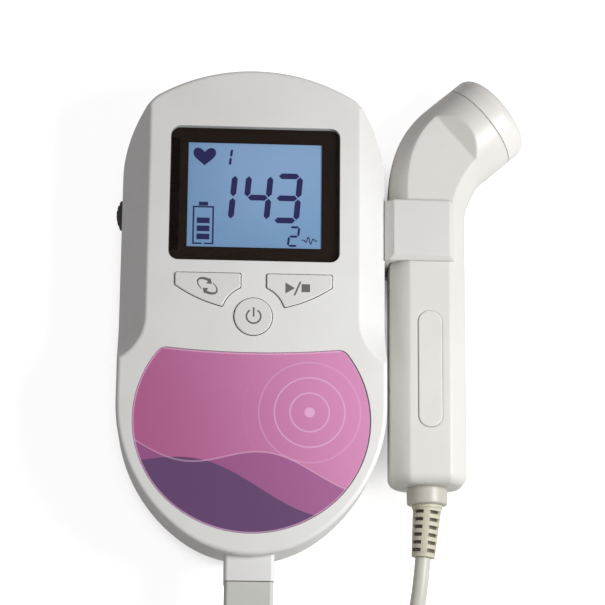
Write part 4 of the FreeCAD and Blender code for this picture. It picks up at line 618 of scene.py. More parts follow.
@dataclass(frozen=True)
class CellCan(Finish):
    """A dry cell: a shrink sleeve in two colours, with bare metal at both ends."""

    sleeve: Colour = tint(36, 38, 44)
    band: Colour = tint(190, 122, 52)
    metal: Colour = tint(205, 205, 208)
    half_length: float = 24.3
    positive: float = 1.0

    def shade(self, book: NodeBook) -> Value:
        """Bands along the cell; the sleeve has a long gloss and a fine seam, the ends are metal.

        Args:
            book: the material's node tree.

        Returns:
            The shader.
        """
        spot = book.place()
        across, along, _ = book.axes(spot)
        end = across.size().rise(self.half_length, self.half_length + 0.1)
        band = (across * self.positive).rise(11.0, 11.2)
        cloud = book.noise(spot, 3.0, 3.0)
        sleeve = book.blend(band, self.sleeve, self.band)
        sleeve = book.blend(cloud * 0.2, sleeve, shaded(self.sleeve, 0.6))
        return book.surface({
            "Base Color": book.blend(end, sleeve, self.metal), "Metallic": end,
            "Roughness": 0.28 + cloud * 0.12, "Normal": book.bump(cloud, 0.02)})


@dataclass(frozen=True)
class CircuitBoard(Finish):
    """A circuit board: solder mask over etched tracks, with tinned pads in rows."""

    mask: Colour
    track: Colour
    pad: Colour

    def shade(self, book: NodeBook) -> Value:
        """Tracks are the borders of a square-distance cell pattern, pads the middles of a finer grid.

        Args:
            book: the material's node tree.

        Returns:
            The shader.
        """
        spot = book.place()
        cells = book.node("ShaderNodeTexVoronoi", {"distance": "CHEBYCHEV", "feature": "F1"}, {
            "Vector": spot, "Scale": 0.33, "Randomness": 0.85})
        track = ((cells * 9.0).wave()).rise(0.55, 0.75)
        grid = book.node("ShaderNodeTexVoronoi", {"distance": "EUCLIDEAN", "feature": "F1"}, {
            "Vector": spot, "Scale": 0.4, "Randomness": 0.0})
        chance = book.noise(spot, 5.0, 1.0)
        pad = grid.rise(0.2, 0.16) * chance.rise(0.55, 0.6)
        weave = book.noise(spot, 0.35, 1.0)
        colour = book.blend(track, self.mask, self.track)
        colour = book.blend(weave * 0.18, colour, shaded(self.mask, 0.5))
        colour = book.blend(pad, colour, self.pad)
        return book.surface({
            "Base Color": colour, "Metallic": pad * 0.8, "Roughness": 0.34 + weave * 0.1,
            "Normal": book.bump(track + pad, 0.03)})


@dataclass(frozen=True)
class TwoTone(Finish):
    """A small component whose upper part is another material than its lower part."""

    lower: Colour
    upper: Colour
    level: float
    lower_metallic: float = 0.0
    upper_metallic: float = 0.0
    rough: float = 0.35

    def shade(self, book: NodeBook) -> Value:
        """The two colours meet at a height along Z, each with its own share of metal.

        Args:
            book: the material's node tree.

        Returns:
            The shader.
        """
        spot = book.place()
        _, _, height = book.axes(spot)
        above = height.rise(self.level - 0.02, self.level + 0.02)
        fine = book.noise(spot, 0.3, 3.0)
        colour = book.blend(above, self.lower, self.upper)
        return book.surface({
            "Base Color": book.blend(fine * 0.25, colour, shaded(self.lower, 0.6)),
            "Metallic": above * (self.upper_metallic - self.lower_metallic) + self.lower_metallic,
            "Roughness": fine * 0.16 + self.rough, "Normal": book.bump(fine, 0.008)})


@dataclass(frozen=True)
class Fibrous(Finish):
    """Pressed paper, felt or foam: matted fibres in two tones."""

    colour: Colour
    fibre: Colour
    period: float = 0.5
    depth: float = 0.08

    def shade(self, book: NodeBook) -> Value:
        """Two noises stretched across each other are the fibres.

        Args:
            book: the material's node tree.

        Returns:
            The shader.
        """
        first = book.noise(book.place((0, 0, 0.5), (1, 0.15, 1)), self.period, 3.0)
        second = book.noise(book.place((0, 0, 2.1), (1, 0.15, 1)), self.period, 3.0)
        mat = (first + second) * 0.5
        return book.surface({
            "Base Color": book.blend(mat.rise(0.4, 0.62), self.colour, self.fibre),
            "Roughness": 0.85 + (mat - 0.5) * 0.1, "Normal": book.bump(mat, self.depth)})


WHITE = tint(234, 235, 232)


class Coat(Enum):
    """The finishes by the name of what they cover."""

    CASING = Seamed("casing_plastic", WHITE, rough=0.4, soften=0.2)
    CLIP = Moulded("clip_plastic", tint(216, 215, 211), rough=0.42, soften=0.8)
    KEY = Seamed("key_plastic", tint(230, 230, 227), rough=0.36, grain=0.25, grain_depth=0.008)
    PROBE = Moulded("probe_plastic", tint(219, 218, 213), rough=0.38, soften=0.9)
    BADGE = Moulded("badge_plastic", tint(222, 220, 216), rough=0.3, grain=0.2, grain_depth=0.004, coat=0.2)
    CAP = Moulded("lens_plastic", tint(228, 227, 223), rough=0.34, grain_depth=0.006)
    COLLAR = Moulded("collar_plastic", tint(191, 188, 176), rough=0.36, soften=0.4)
    RELIEF = Slotted("relief_rubber", tint(198, 196, 174), rough=0.5)
    PLUG = Moulded("plug_plastic", tint(205, 208, 200), rough=0.44)
    CORD = Moulded("cord_jacket", tint(202, 203, 192), rough=0.38, grain=0.6, grain_depth=0.02)
    WHEEL = Moulded("wheel_rubber", tint(22, 22, 23), rough=0.6, mottle=0.2)
    BLACK = Moulded("black_plastic", tint(30, 30, 32), rough=0.45, mottle=0.1)
    HOLDER = Moulded("holder_plastic", tint(205, 206, 205), rough=0.5)
    TIE = Moulded("tie_rubber", tint(60, 62, 66), rough=0.62, mottle=0.12)
    DIFFUSER = Moulded("diffuser_sheet", tint(238, 241, 244), rough=0.3, mottle=0.01)
    CRYSTAL = Moulded("crystal_ceramic", tint(196, 188, 168), rough=0.3, grain=0.15, mottle=0.08)
    BACKING = Moulded("backing_resin", tint(74, 60, 54), rough=0.55, grain=0.4, grain_depth=0.05, mottle=0.3)
    MAGNET = Moulded("magnet_ferrite", tint(58, 58, 60), rough=0.5, grain=0.4, grain_depth=0.03, mottle=0.2)
    CHIP = Moulded("chip_resin", tint(34, 34, 36), rough=0.5, grain=0.2, grain_depth=0.01, mottle=0.15)
    WINDOW = ClearSheet("window_acrylic")
    MASK = Ink("mask_ink", tint(28, 18, 11), rough=0.5, speckle=0.1, gloss=0.1)
    SEGMENT = Ink("segment_ink", tint(50, 48, 96), rough=0.5, speckle=0.06, gloss=0.1)
    MARK = Ink("mark_ink", tint(106, 104, 104), rough=0.55, gloss=0.3)
    PANEL = LitPanel("display_film", tint(112, 149, 188), tint(139, 171, 207))
    LABEL = PrintedLabel(
        "label_film", tint(180, 88, 140), tint(220, 144, 190), tint(68, 34, 90), tint(136, 64, 126),
        tint(240, 190, 224))
    STEEL = Metal("screw_steel", tint(200, 200, 204))
    NICKEL = Metal("contact_nickel", tint(214, 210, 200), rough=0.24)
    BASKET = Metal("basket_steel", tint(186, 188, 190), rough=0.36)
    UPPER_CELL = CellCan("upper_cell_can")
    LOWER_CELL = CellCan("lower_cell_can", positive=-1.0)
    BOARD = CircuitBoard("circuit_board", tint(26, 84, 52), tint(46, 122, 78), tint(212, 208, 196))
    SWITCH = TwoTone("switch_metal", tint(196, 198, 200), tint(32, 32, 34), 25.33, lower_metallic=0.9)
    CONTROL = TwoTone("control_metal", tint(190, 192, 194), tint(44, 44, 48), 18.9, lower_metallic=0.9)
    CONE = Fibrous("cone_paper", tint(44, 44, 46), tint(74, 72, 70))
    GASKET = Fibrous("gasket_foam", tint(38, 38, 40), tint(60, 60, 62), period=0.3)


class Wardrobe:
    """Makes each material once and puts it on nodes and pieces."""

    def __init__(self) -> None:
        """Starts with no material made."""
        self.made: dict[Coat, bpy.types.Material] = {}

    def get(self, coat: Coat) -> bpy.types.Material:
        """The coat's material, made when it is first asked for.

        Args:
            coat: the finish.

        Returns:
            Its material.
        """
        if coat not in self.made:
            self.made[coat] = coat.value.make()
        return self.made[coat]

    def dress_node(self, node: str, coat: Coat) -> None:
        """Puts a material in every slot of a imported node.

        Args:
            node: the node's name.
            coat: the finish that it gets.
        """
        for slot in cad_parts[node].material_slots:
            slot.material = self.get(coat)
        LOG.info("%s: %s", node, coat.value.name)

    def dress_piece(self, piece: bpy.types.Object, coat: Coat) -> bpy.types.Object:
        """Gives a new piece its only material.

        Args:
            piece: the piece.
            coat: the finish that it gets.

        Returns:
            The same piece.
        """
        piece.data.materials.clear()
        piece.data.materials.append(self.get(coat))
        return piece


# ---------------------------------------------------------------- shapes


@dataclass
class Shape:
    """Points in millimetres and the faces between them."""

    points: np.ndarray
    faces: list[list[int]]

    def joined(self, other: "Shape") -> "Shape":
        """This shape and another as one.

        Args:
            other: the other shape, whose points follow this one's.

        Returns:
            The two as one shape.
        """
        first = len(self.points)
        shifted = [[corner + first for corner in face] for face in other.faces]
        return Shape(np.vstack([self.points, other.points]), self.faces + shifted)

    def to_object(self, name: str, smooth_angle: float = 35.0) -> bpy.types.Object:
        """Makes the mesh object, in metres at the origin.

        Args:
            name: the piece's name.
            smooth_angle: edges that turn by more than this many degrees stay sharp.

        Returns:
            The new object, in the scene.
        """
        mesh = bpy.data.meshes.new(name)
        mesh.from_pydata((self.points * MM).tolist(), [], self.faces)
        mesh.validate()
        mesh.shade_smooth()
        mesh.set_sharp_from_angle(angle=math.radians(smooth_angle))
        piece = bpy.data.objects.new(name, mesh)
        bpy.context.scene.collection.objects.link(piece)
        return piece


def join_all(shapes: list[Shape]) -> Shape:
    """Several shapes as one.

    Args:
        shapes: the shapes, at least one.

    Returns:
        All of them as one shape.
    """
    whole = shapes[0]
    for shape in shapes[1:]:
        whole = whole.joined(shape)
    return whole


def grid_faces(rows: int, columns: int, wrap_rows: bool) -> list[list[int]]:
    """Four-sided faces between the points of a grid whose last column meets its first.

    Args:
        rows, columns: the grid's size; point (row, column) has the number row * columns + column.
        wrap_rows: whether the last row meets the first too.

    Returns:
        The faces, each as four point numbers.
    """
    row = np.arange(rows if wrap_rows else rows - 1)[:, None]
    column = np.arange(columns)[None, :]
    below = row * columns
    above = (row + 1) % rows * columns
    beside = (column + 1) % columns
    corners = np.stack([below + column, below + beside, above + beside, above + column], axis=-1)
    return corners.reshape(-1, 4).tolist()


def carried(path: np.ndarray, across: np.ndarray, up: np.ndarray, section: np.ndarray, loop: bool) -> Shape:
    """A section carried along a path: path + section's first number * across + its second * up.

    Args:
        path: points along the way, one row each.
        across, up: unit vectors of the section's plane at each point.
        section: the section's corners, anticlockwise seen along the way back.
        loop: whether the path closes on itself; otherwise both ends are closed with a face.

    Returns:
        The closed shape.
    """
    points = (path[:, None, :] + section[None, :, 0, None] * across[:, None, :]
              + section[None, :, 1, None] * up[:, None, :])
    rows, columns = len(path), len(section)
    faces = grid_faces(rows, columns, loop)
    if not loop:
        faces.append(list(range(columns))[::-1])
        faces.append([(rows - 1) * columns + column for column in range(columns)])
    return Shape(points.reshape(-1, 3), faces)


def directions(path: np.ndarray, loop: bool) -> np.ndarray:
    """The unit direction of the way at each point, from its two neighbours.

    Args:
        path: points along the way.
        loop: whether the path closes on itself.

    Returns:
        The directions, one row each.
    """
    if loop:
        way = np.roll(path, -1, axis=0) - np.roll(path, 1, axis=0)
    else:
        way = np.gradient(path, axis=0)
    return way / np.linalg.norm(way, axis=1, keepdims=True)


def level_frames(path: np.ndarray, loop: bool) -> tuple[np.ndarray, np.ndarray]:
    """Sideways and upward unit vectors along a path that is never upright.

    Args:
        path: points along the way.
        loop: whether the path closes on itself.

    Returns:
        The level vectors to the left of the way, and the vectors square to both.
    """
    way = directions(path, loop)
    across = np.cross(np.array([0.0, 0.0, 1.0]), way)
    across /= np.linalg.norm(across, axis=1, keepdims=True)
    return across, np.cross(way, across)


def ring_section(radius: float, sides: int) -> np.ndarray:
    """A circle's corners."""
    angle = np.arange(sides) * (2 * math.pi / sides)
    return np.stack([radius * np.cos(angle), radius * np.sin(angle)], axis=1)


def rounded_section(half_width: float, half_height: float, corner: float, steps: int) -> np.ndarray:
    """A rectangle's outline with round corners: a corner circle's points, each pushed out to its quarter.

    Args:
        half_width, half_height: half the rectangle's sides.
        corner: the corners' radius.
        steps: the points in each corner.

    Returns:
        The outline's points, anticlockwise.
    """
    angle = np.linspace(0, math.pi / 2, steps)[None, :] + np.arange(4)[:, None] * (math.pi / 2)
    push_x = np.array([1, -1, -1, 1])[:, None] * (half_width - corner)
    push_y = np.array([1, 1, -1, -1])[:, None] * (half_height - corner)
    outline = np.stack([push_x + corner * np.cos(angle), push_y + corner * np.sin(angle)], axis=-1)
    return outline.reshape(-1, 2)


def plate(outline: np.ndarray, low: float, high: float) -> Shape:
    """A flat plate: an anticlockwise outline raised from one height to another.

    Args:
        outline: the outline's points.
        low, high: the heights of its two faces.

    Returns:
        The closed shape.
    """
    count = len(outline)
    under = np.column_stack([outline, np.full(count, low)])
    over = np.column_stack([outline, np.full(count, high)])
    faces = grid_faces(2, count, False)
    faces.append(list(range(count))[::-1])
    faces.append(list(range(count, 2 * count)))
    return Shape(np.vstack([under, over]), faces)


def stroke(path: np.ndarray, width: float, low: float, high: float) -> Shape:
    """A line drawn with a flat pen: a rectangular section carried along a level path.

    Args:
        path: points along the line.
        width: the line's width.
        low, high: the heights of its two faces.

    Returns:
        The closed shape.
    """
    line = np.column_stack([path, np.full(len(path), (low + high) / 2)])
    across, up = level_frames(line, False)
    section = rounded_section(width / 2, (high - low) / 2, 0.0, 1)
    return carried(line, across, up, section, False)


def anticlockwise(outline: np.ndarray) -> np.ndarray:
    """The outline, turned round where the sign of its area says that it runs clockwise.

    Args:
        outline: the outline's points.

    Returns:
        The same points, anticlockwise.
    """
    ahead = np.roll(outline, -1, axis=0)
    area = float(np.sum(outline[:, 0] * ahead[:, 1] - ahead[:, 0] * outline[:, 1]))
    return outline if area > 0 else outline[::-1]


def arc(centre: tuple[float, float], radius: float, start: float, end: float, count: int) -> np.ndarray:
    """Points along an arc, between two angles in degrees."""
    angle = np.radians(np.linspace(start, end, count))
    return np.stack([centre[0] + radius * np.cos(angle), centre[1] + radius * np.sin(angle)], axis=1)


# ---------------------------------------------------------------- signs on the display


class Segment(Enum):
    """The seven bars of a digit: each one's two ends in a box one wide and two high."""

    TOP = ((0, 2), (1, 2))
    UPPER_RIGHT = ((1, 2), (1, 1))
    LOWER_RIGHT = ((1, 1), (1, 0))
    BOTTOM = ((0, 0), (1, 0))
    LOWER_LEFT = ((0, 1), (0, 0))
    UPPER_LEFT = ((0, 2), (0, 1))
    MIDDLE = ((0, 1), (1, 1))


DIGIT_BARS = {
    "1": (Segment.UPPER_RIGHT, Segment.LOWER_RIGHT),
    "2": (Segment.TOP, Segment.UPPER_RIGHT, Segment.MIDDLE, Segment.LOWER_LEFT, Segment.BOTTOM),
    "3": (Segment.TOP, Segment.UPPER_RIGHT, Segment.MIDDLE, Segment.LOWER_RIGHT, Segment.BOTTOM),
    "4": (Segment.UPPER_LEFT, Segment.UPPER_RIGHT, Segment.MIDDLE, Segment.LOWER_RIGHT),
}


@dataclass
class Display:
    """The signs that the display shows, as thin plates on the panel."""

    wardrobe: Wardrobe
    low: float = 31.205
    high: float = 31.225
    slant: float = 0.085
    bar_gap: float = 0.22
    big_digits: tuple[tuple[str, float, float], ...] = (
        ("1", -12.5, 6.7), ("4", -3.55, 7.55), ("3", 4.4, 7.75))
    big_low: float = 23.87
    big_height: float = 14.3
    big_bar: float = 1.62
    small_digits: tuple[tuple[str, float, float, float, float, float], ...] = (
        ("1", -9.0, 39.75, 2.3, 5.5, 0.66), ("2", 8.9, 17.2, 3.1, 5.9, 0.62))
    small_slant: float = 0.115
    small_gap: float = 0.12
    heart_place: tuple[float, float] = (-13.95, 42.5)
    heart_size: float = 6.25
    battery_sides: tuple[float, float] = (-16.9, -11.1)
    battery_ends: tuple[float, float] = (17.45, 28.3)
    battery_line: float = 0.43
    battery_gap: float = 0.3
    battery_cap: tuple[float, float, float] = (1.25, 0.12, 1.2)
    charge_inset: float = 1.15
    charge_ends: tuple[float, float] = (18.82, 20.4)
    charge_step: float = 2.3
    pulse_place: tuple[float, float] = (13.0, 19.1)
    pulse_size: tuple[float, float] = (4.3, 1.05)
    pulse_line: float = 0.28

    def bar(self, start: tuple[float, float], end: tuple[float, float], width: float, gap: float) -> Shape:
        """One bar: a long hexagon from start to end, drawn in from both by the gap.

        Args:
            start, end: the bar's two ends.
            width: its width.
            gap: how far it stops short of each end.

        Returns:
            The bar's plate.
        """
        first, last = np.array(start, float), np.array(end, float)
        way = (last - first) / np.linalg.norm(last - first)
        side = np.array([-way[1], way[0]])
        first, last = first + way * gap, last - way * gap
        half = width / 2
        outline = np.array([
            first, first + (way - side) * half, last - (way + side) * half, last,
            last - (way - side) * half, first + (way + side) * half])
        return plate(outline, self.low, self.high)

    def digit(self, figure: str, left: float, low: float, width: float, height: float, bar: float,
              gap: float, slant: float) -> Shape:
        """A slanted seven-bar figure in a box; bars lie with their middles half a bar inside it.

        Args:
            figure: the figure to draw.
            left, low: the box's lower left corner.
            width, height: the box's size.
            bar: the bars' width.
            gap: how far each bar stops short of its ends.
            slant: how far the figure leans for each unit of height.

        Returns:
            The figure's plates as one shape.
        """
        wide, tall = width - bar, (height - bar) / 2
        bars = [
            self.bar((left + bar / 2 + start[0] * wide, low + bar / 2 + start[1] * tall),
                     (left + bar / 2 + end[0] * wide, low + bar / 2 + end[1] * tall), bar, gap)
            for start, end in (segment.value for segment in DIGIT_BARS[figure])
        ]
        shape = join_all(bars)
        shape.points[:, 0] += (shape.points[:, 1] - low) * slant
        return shape

    def heart(self) -> Shape:
        """A full heart, scaled to its width, with nine tenths of its own height.

        x = 16 |sin t|^2.1 with the sine's sign, y = 13 cos t - 5 cos 2t - 2 cos 3t - cos 4t.

        Returns:
            The heart's plate.
        """
        turn = np.linspace(0, 2 * math.pi, 64, endpoint=False)
        x = 16 * np.sign(np.sin(turn)) * np.abs(np.sin(turn)) ** 2.1
        y = 13 * np.cos(turn) - 5 * np.cos(2 * turn) - 2 * np.cos(3 * turn) - np.cos(4 * turn)
        scale = self.heart_size / 32
        outline = np.stack([x * scale, (y + 2.5) * scale * 0.9], axis=1) + np.array(self.heart_place)
        return plate(anticlockwise(outline), self.low, self.high)

    def box(self, left: float, right: float, low: float, high: float) -> Shape:
        """A level rectangle."""
        outline = np.array([(left, low), (right, low), (right, high), (left, high)])
        return plate(outline, self.low, self.high)

    def battery(self) -> Shape:
        """A battery sign: a frame with a gap in its foot, a cap and three charge bars.

        Returns:
            The sign's plates as one shape.
        """
        (left, right), (low, high), line = self.battery_sides, self.battery_ends, self.battery_line
        cap_half, cap_low, cap_high = self.battery_cap
        middle = (left + right) / 2
        parts = [
            self.box(left, left + line, low, high), self.box(right - line, right, low, high),
            self.box(left + line, right - line, high - line, high),
            self.box(left + line, middle - self.battery_gap, low, low + line),
            self.box(middle + self.battery_gap, right - line, low, low + line),
            self.box(middle - cap_half, middle + cap_half, high + cap_low, high + cap_high),
        ]
        first, last = self.charge_ends
        for row in range(3):
            lift = row * self.charge_step
            parts.append(self.box(
                left + self.charge_inset, right - self.charge_inset, first + lift, last + lift))
        return join_all(parts)

    def pulse(self) -> Shape:
        """A small sound wave: a sine of three turns under a bell, beside the smaller figure.

        Returns:
            The wave's line.
        """
        run = np.linspace(0, 1, 48)
        height = np.sin(run * 6 * math.pi) * np.exp(-((run - 0.5) / 0.28) ** 2)
        path = np.array(self.pulse_place) + np.stack([run, height], axis=1) * np.array(self.pulse_size)
        return stroke(path, self.pulse_line, self.low, self.high)

    def build(self) -> None:
        """Makes all the signs as one piece on the monitor."""
        shapes = [
            self.digit(
                figure, left, self.big_low, width, self.big_height, self.big_bar, self.bar_gap, self.slant)
            for figure, left, width in self.big_digits
        ]
        for figure, left, low, width, height, bar in self.small_digits:
            shapes.append(self.digit(figure, left, low, width, height, bar, self.small_gap, self.small_slant))
        shapes += [self.heart(), self.battery(), self.pulse()]
        piece = join_all(shapes).to_object("display_signs")
        self.wardrobe.dress_piece(piece, Coat.SEGMENT)
        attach(piece, "monitor")
        LOG.info("display_signs: %d faces", len(piece.data.polygons))


# ---------------------------------------------------------------- marks on the keys


@dataclass
class KeyMarks:
    """The printed mark on each key, a thin film of ink that moves with it."""

    wardrobe: Wardrobe
    low: float = 33.49
    high: float = 33.515
    line: float = 0.46
    mode_centre: tuple[float, float] = (-12.54, 5.15)
    mode_axes: tuple[float, float] = (3.0, 1.58)
    mode_tilt: float = -33.8
    power_centre: tuple[float, float] = (0.1, -3.06)
    power_radius: float = 1.93
    power_bar: tuple[float, float] = (-0.1, 2.5)
    arrow_turn: tuple[float, float] = (255.0, 103.0)
    arrow_half: tuple[float, float] = (0.09, 0.4)
    arrow_head: tuple[tuple[float, float], ...] = ((-0.42, 2.22), (0.72, 1.16), (-0.62, 0.34))
    start_signs: tuple[tuple[tuple[float, float], ...], ...] = (
        ((8.6, 3.45), (11.2, 5.0), (8.6, 6.55)),
        ((10.8, 2.98), (11.32, 2.98), (12.98, 6.88), (12.46, 6.88)),
        ((12.98, 3.93), (15.3, 3.93), (15.3, 6.17), (12.98, 6.17)))

    def film(self, outline: tuple[tuple[float, float], ...]) -> Shape:
        """A flat patch of ink with the given anticlockwise outline."""
        return plate(np.array(outline, float), self.low, self.high)

    def chasing_arrow(self) -> np.ndarray:
        """One of two arrows round an ellipse: a line that thickens into an arrowhead.

        The line is long * cos t, short * sin t, with t from the first turn down to the second, and half
        its width grows evenly; the head's corners stand beyond its end.

        Returns:
            The arrow's outline about the ellipse's centre, before the ellipse is tilted.
        """
        long, short = self.mode_axes
        turn = np.radians(np.linspace(*self.arrow_turn, 36))
        way = np.stack([long * np.cos(turn), short * np.sin(turn)], axis=1)
        ahead = directions(way, False)
        half = np.linspace(*self.arrow_half, len(way))[:, None]
        beside = np.stack([-ahead[:, 1], ahead[:, 0]], axis=1) * half
        return np.vstack([way + beside, np.array(self.arrow_head), (way - beside)[::-1]])

    def mode_mark(self) -> Shape:
        """Two arrows that chase each other, each the other's half turn.

        Returns:
            The two arrows as one shape.
        """
        tilt = math.radians(self.mode_tilt)
        turn = np.array([[math.cos(tilt), math.sin(tilt)], [-math.sin(tilt), math.cos(tilt)]])
        arrow = anticlockwise(self.chasing_arrow() @ turn)
        centre = np.array(self.mode_centre)
        return plate(centre + arrow, self.low, self.high).joined(plate(centre - arrow, self.low, self.high))

    def start_mark(self) -> Shape:
        """A triangle, a slanted line and a square."""
        return join_all([self.film(outline) for outline in self.start_signs])

    def power_mark(self) -> Shape:
        """A ring open at the top, with a bar in the opening.

        Returns:
            The ring and the bar as one shape.
        """
        ring = stroke(arc(self.power_centre, self.power_radius, 122, 418, 48), self.line, self.low, self.high)
        x, y = self.power_centre
        half = self.line / 2
        low, high = y + self.power_bar[0], y + self.power_bar[1]
        bar = self.film(((x - half, low), (x + half, low), (x + half, high), (x - half, high)))
        return ring.joined(bar)

    def build(self) -> None:
        """Makes the three marks, each on its key's body."""
        marks = (
            ("mode_mark", self.mode_mark(), "mode_button"),
            ("start_stop_mark", self.start_mark(), "start_stop_button"),
            ("power_mark", self.power_mark(), "power_button"),
        )
        for name, shape, body in marks:
            piece = self.wardrobe.dress_piece(shape.to_object(name), Coat.MARK)
            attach(piece, body)
            LOG.info("%s: %d faces", name, len(piece.data.polygons))


# ---------------------------------------------------------------- cord


PROBE_RUN = [
    (47.6473, -65.1475, 15.0),
    (47.0197, -72.3201, 15.0),
    (45.5, -82.2, 13.8),
    (42.0, -93.5, 11.3),
    (40.6, -105.0, 8.2),
    (41.9, -117.0, 5.3),
    (44.6, -128.2, 3.3),
    (45.7, -138.0, 2.75),
]
PLUG_RUN = [
    (0.0, -98.1, 24.0),
    (0.0, -105.5, 24.0),
    (-1.5, -114.0, 22.3),
    (-4.1, -122.5, 19.2),
    (-6.5, -130.5, 16.6),
    (-7.5, -138.0, 15.95),
]


@dataclass
class Cord:
    """The cord from the probe to its plug, with the spare length in a tied coil."""

    wardrobe: Wardrobe
    radius: float = 2.15
    length: float = 1290.0
    sides: int = 14
    coil_centre: tuple[float, float] = (19.0, -138.0)
    turn_in: float = 17.3
    turn_out: float = 26.7
    rest: float = 0.6
    pitch: float = 4.4
    layers: int = 4
    turns: float = 8.5
    points_per_turn: int = 16
    climb: float = 0.3
    tie_angle: float = 232.0
    tie_half_width: float = 3.2
    tie_thick: float = 0.5
    tie_gap: float = 0.05

    def coil_points(self) -> np.ndarray:
        """The coil's turns, wound inwards and outwards by turns, one layer on another.

        With p the turns since the east side, the layer is p over the turns in a layer. Within it the
        radius goes evenly from one side of the winding to the other, and at its end the height climbs
        one pitch by a smooth step. The turns run clockwise.

        Returns:
            The spline's points, without those of the two runs.
        """
        count = int(round(self.turns * self.points_per_turn))
        turn = np.arange(1, count) / self.points_per_turn
        in_layer = self.turns / self.layers
        layer = np.minimum(np.floor(turn / in_layer), self.layers - 1)
        share = turn / in_layer - layer
        inward = layer % 2 == 0
        reach = self.turn_out - self.turn_in
        radius = np.where(inward, self.turn_out - reach * share, self.turn_in + reach * share)
        radius = radius / math.cos(math.pi / self.points_per_turn)
        edges = np.arange(1, self.layers)[:, None] * in_layer
        step = np.clip((turn[None, :] - edges) / self.climb + 0.5, 0, 1)
        height = self.rest + self.radius + self.pitch * np.sum(step * step * (3 - 2 * step), axis=0)
        angle = -2 * math.pi * turn
        east, north = self.coil_centre
        return np.stack([east + radius * np.cos(angle), north + radius * np.sin(angle), height], axis=1)

    def line(self) -> np.ndarray:
        """The cord's middle line, read from a smooth spline through the whole route.

        Returns:
            The line's points, from the probe to the plug.
        """
        route = np.vstack([np.array(PROBE_RUN), self.coil_points(), np.array(PLUG_RUN[::-1])])
        curve = bpy.data.curves.new("cord_route", "CURVE")
        curve.dimensions = "3D"
        curve.resolution_u = 4
        spline = curve.splines.new("NURBS")
        spline.points.add(len(route) - 1)
        spline.points.foreach_set("co", np.column_stack([route * MM, np.ones(len(route))]).ravel())
        spline.order_u = 3
        spline.use_endpoint_u = True
        holder = bpy.data.objects.new("cord_route", curve)
        bpy.context.scene.collection.objects.link(holder)
        read = bpy.data.meshes.new_from_object(holder.evaluated_get(bpy.context.evaluated_depsgraph_get()))
        points = np.empty(len(read.vertices) * 3)
        read.vertices.foreach_get("co", points)
        bpy.data.objects.remove(holder)
        bpy.data.curves.remove(curve)
        bpy.data.meshes.remove(read)
        return points.reshape(-1, 3) / MM

    def jacket(self, line: np.ndarray) -> bpy.types.Object:
        """The round jacket: a circle carried along the line.

        Args:
            line: the cord's middle line.

        Returns:
            The piece.
        """
        across, up = level_frames(line, False)
        shape = carried(line, across, up, ring_section(self.radius, self.sides), False)
        piece = shape.to_object("cord_jacket", 60.0)
        return self.wardrobe.dress_piece(piece, Coat.CORD)

    def tie(self) -> bpy.types.Object:
        """A rubber strap round the coil: a thin section carried round the winding's own section.

        Returns:
            The piece.
        """
        half_across = (self.turn_out - self.turn_in) / 2 + self.radius + self.tie_gap + self.tie_thick / 2
        half_up = (self.layers - 1) * self.pitch / 2 + self.radius + self.tie_gap + self.tie_thick / 2
        loop = rounded_section(half_across, half_up, self.radius, 9)
        angle = math.radians(self.tie_angle)
        out = np.array([math.cos(angle), math.sin(angle), 0.0])
        along = np.array([-math.sin(angle), math.cos(angle), 0.0])
        middle_radius = (self.turn_in + self.turn_out) / 2
        middle_up = self.rest + self.radius + (self.layers - 1) * self.pitch / 2
        centre = np.array([*self.coil_centre, middle_up]) + out * middle_radius
        path = centre + loop[:, :1] * out + loop[:, 1:] * np.array([0.0, 0.0, 1.0])
        way = directions(path, True)
        across = np.tile(along, (len(path), 1))
        section = rounded_section(self.tie_half_width, self.tie_thick / 2, self.tie_thick / 2 - 0.02, 4)
        piece = carried(path, across, np.cross(way, across), section, True).to_object("coil_tie")
        return self.wardrobe.dress_piece(piece, Coat.TIE)

    def build(self) -> None:
        line = self.line()
        jacket = self.jacket(line)
        tie = self.tie()
        measured = float(np.sum(np.linalg.norm(np.diff(line, axis=0), axis=1)))
        LOG.info("cord_jacket: %.0f mm long, %d faces", measured, len(jacket.data.polygons))
        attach(tie, "monitor")
        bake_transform(jacket)
        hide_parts("cord_probe_run", "cord_plug_run", "cord_coil")


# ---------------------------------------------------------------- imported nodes


@dataclass
class SubAssembly:
    """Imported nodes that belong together, each with its finish."""

    wardrobe: Wardrobe
    coats: dict[str, Coat]

    def dress(self) -> None:
        """Gives each node its finish."""
        for node, coat in self.coats.items():
            self.wardrobe.dress_node(node, coat)


@dataclass
class Housing(SubAssembly):
    """The monitor's own shells, keys, window, label and wheel."""

    coats: dict[str, Coat] = field(default_factory=lambda: {
        "front_shell": Coat.CASING, "rear_shell": Coat.CASING, "battery_cover": Coat.CASING,
        "probe_clip": Coat.CLIP, "display_window": Coat.WINDOW, "display_mask": Coat.MASK,
        "mode_key": Coat.KEY, "start_stop_key": Coat.KEY, "power_key": Coat.KEY, "label": Coat.LABEL,
        "volume_wheel": Coat.WHEEL, "casing_screws": Coat.STEEL, "clip_screws": Coat.STEEL,
    })


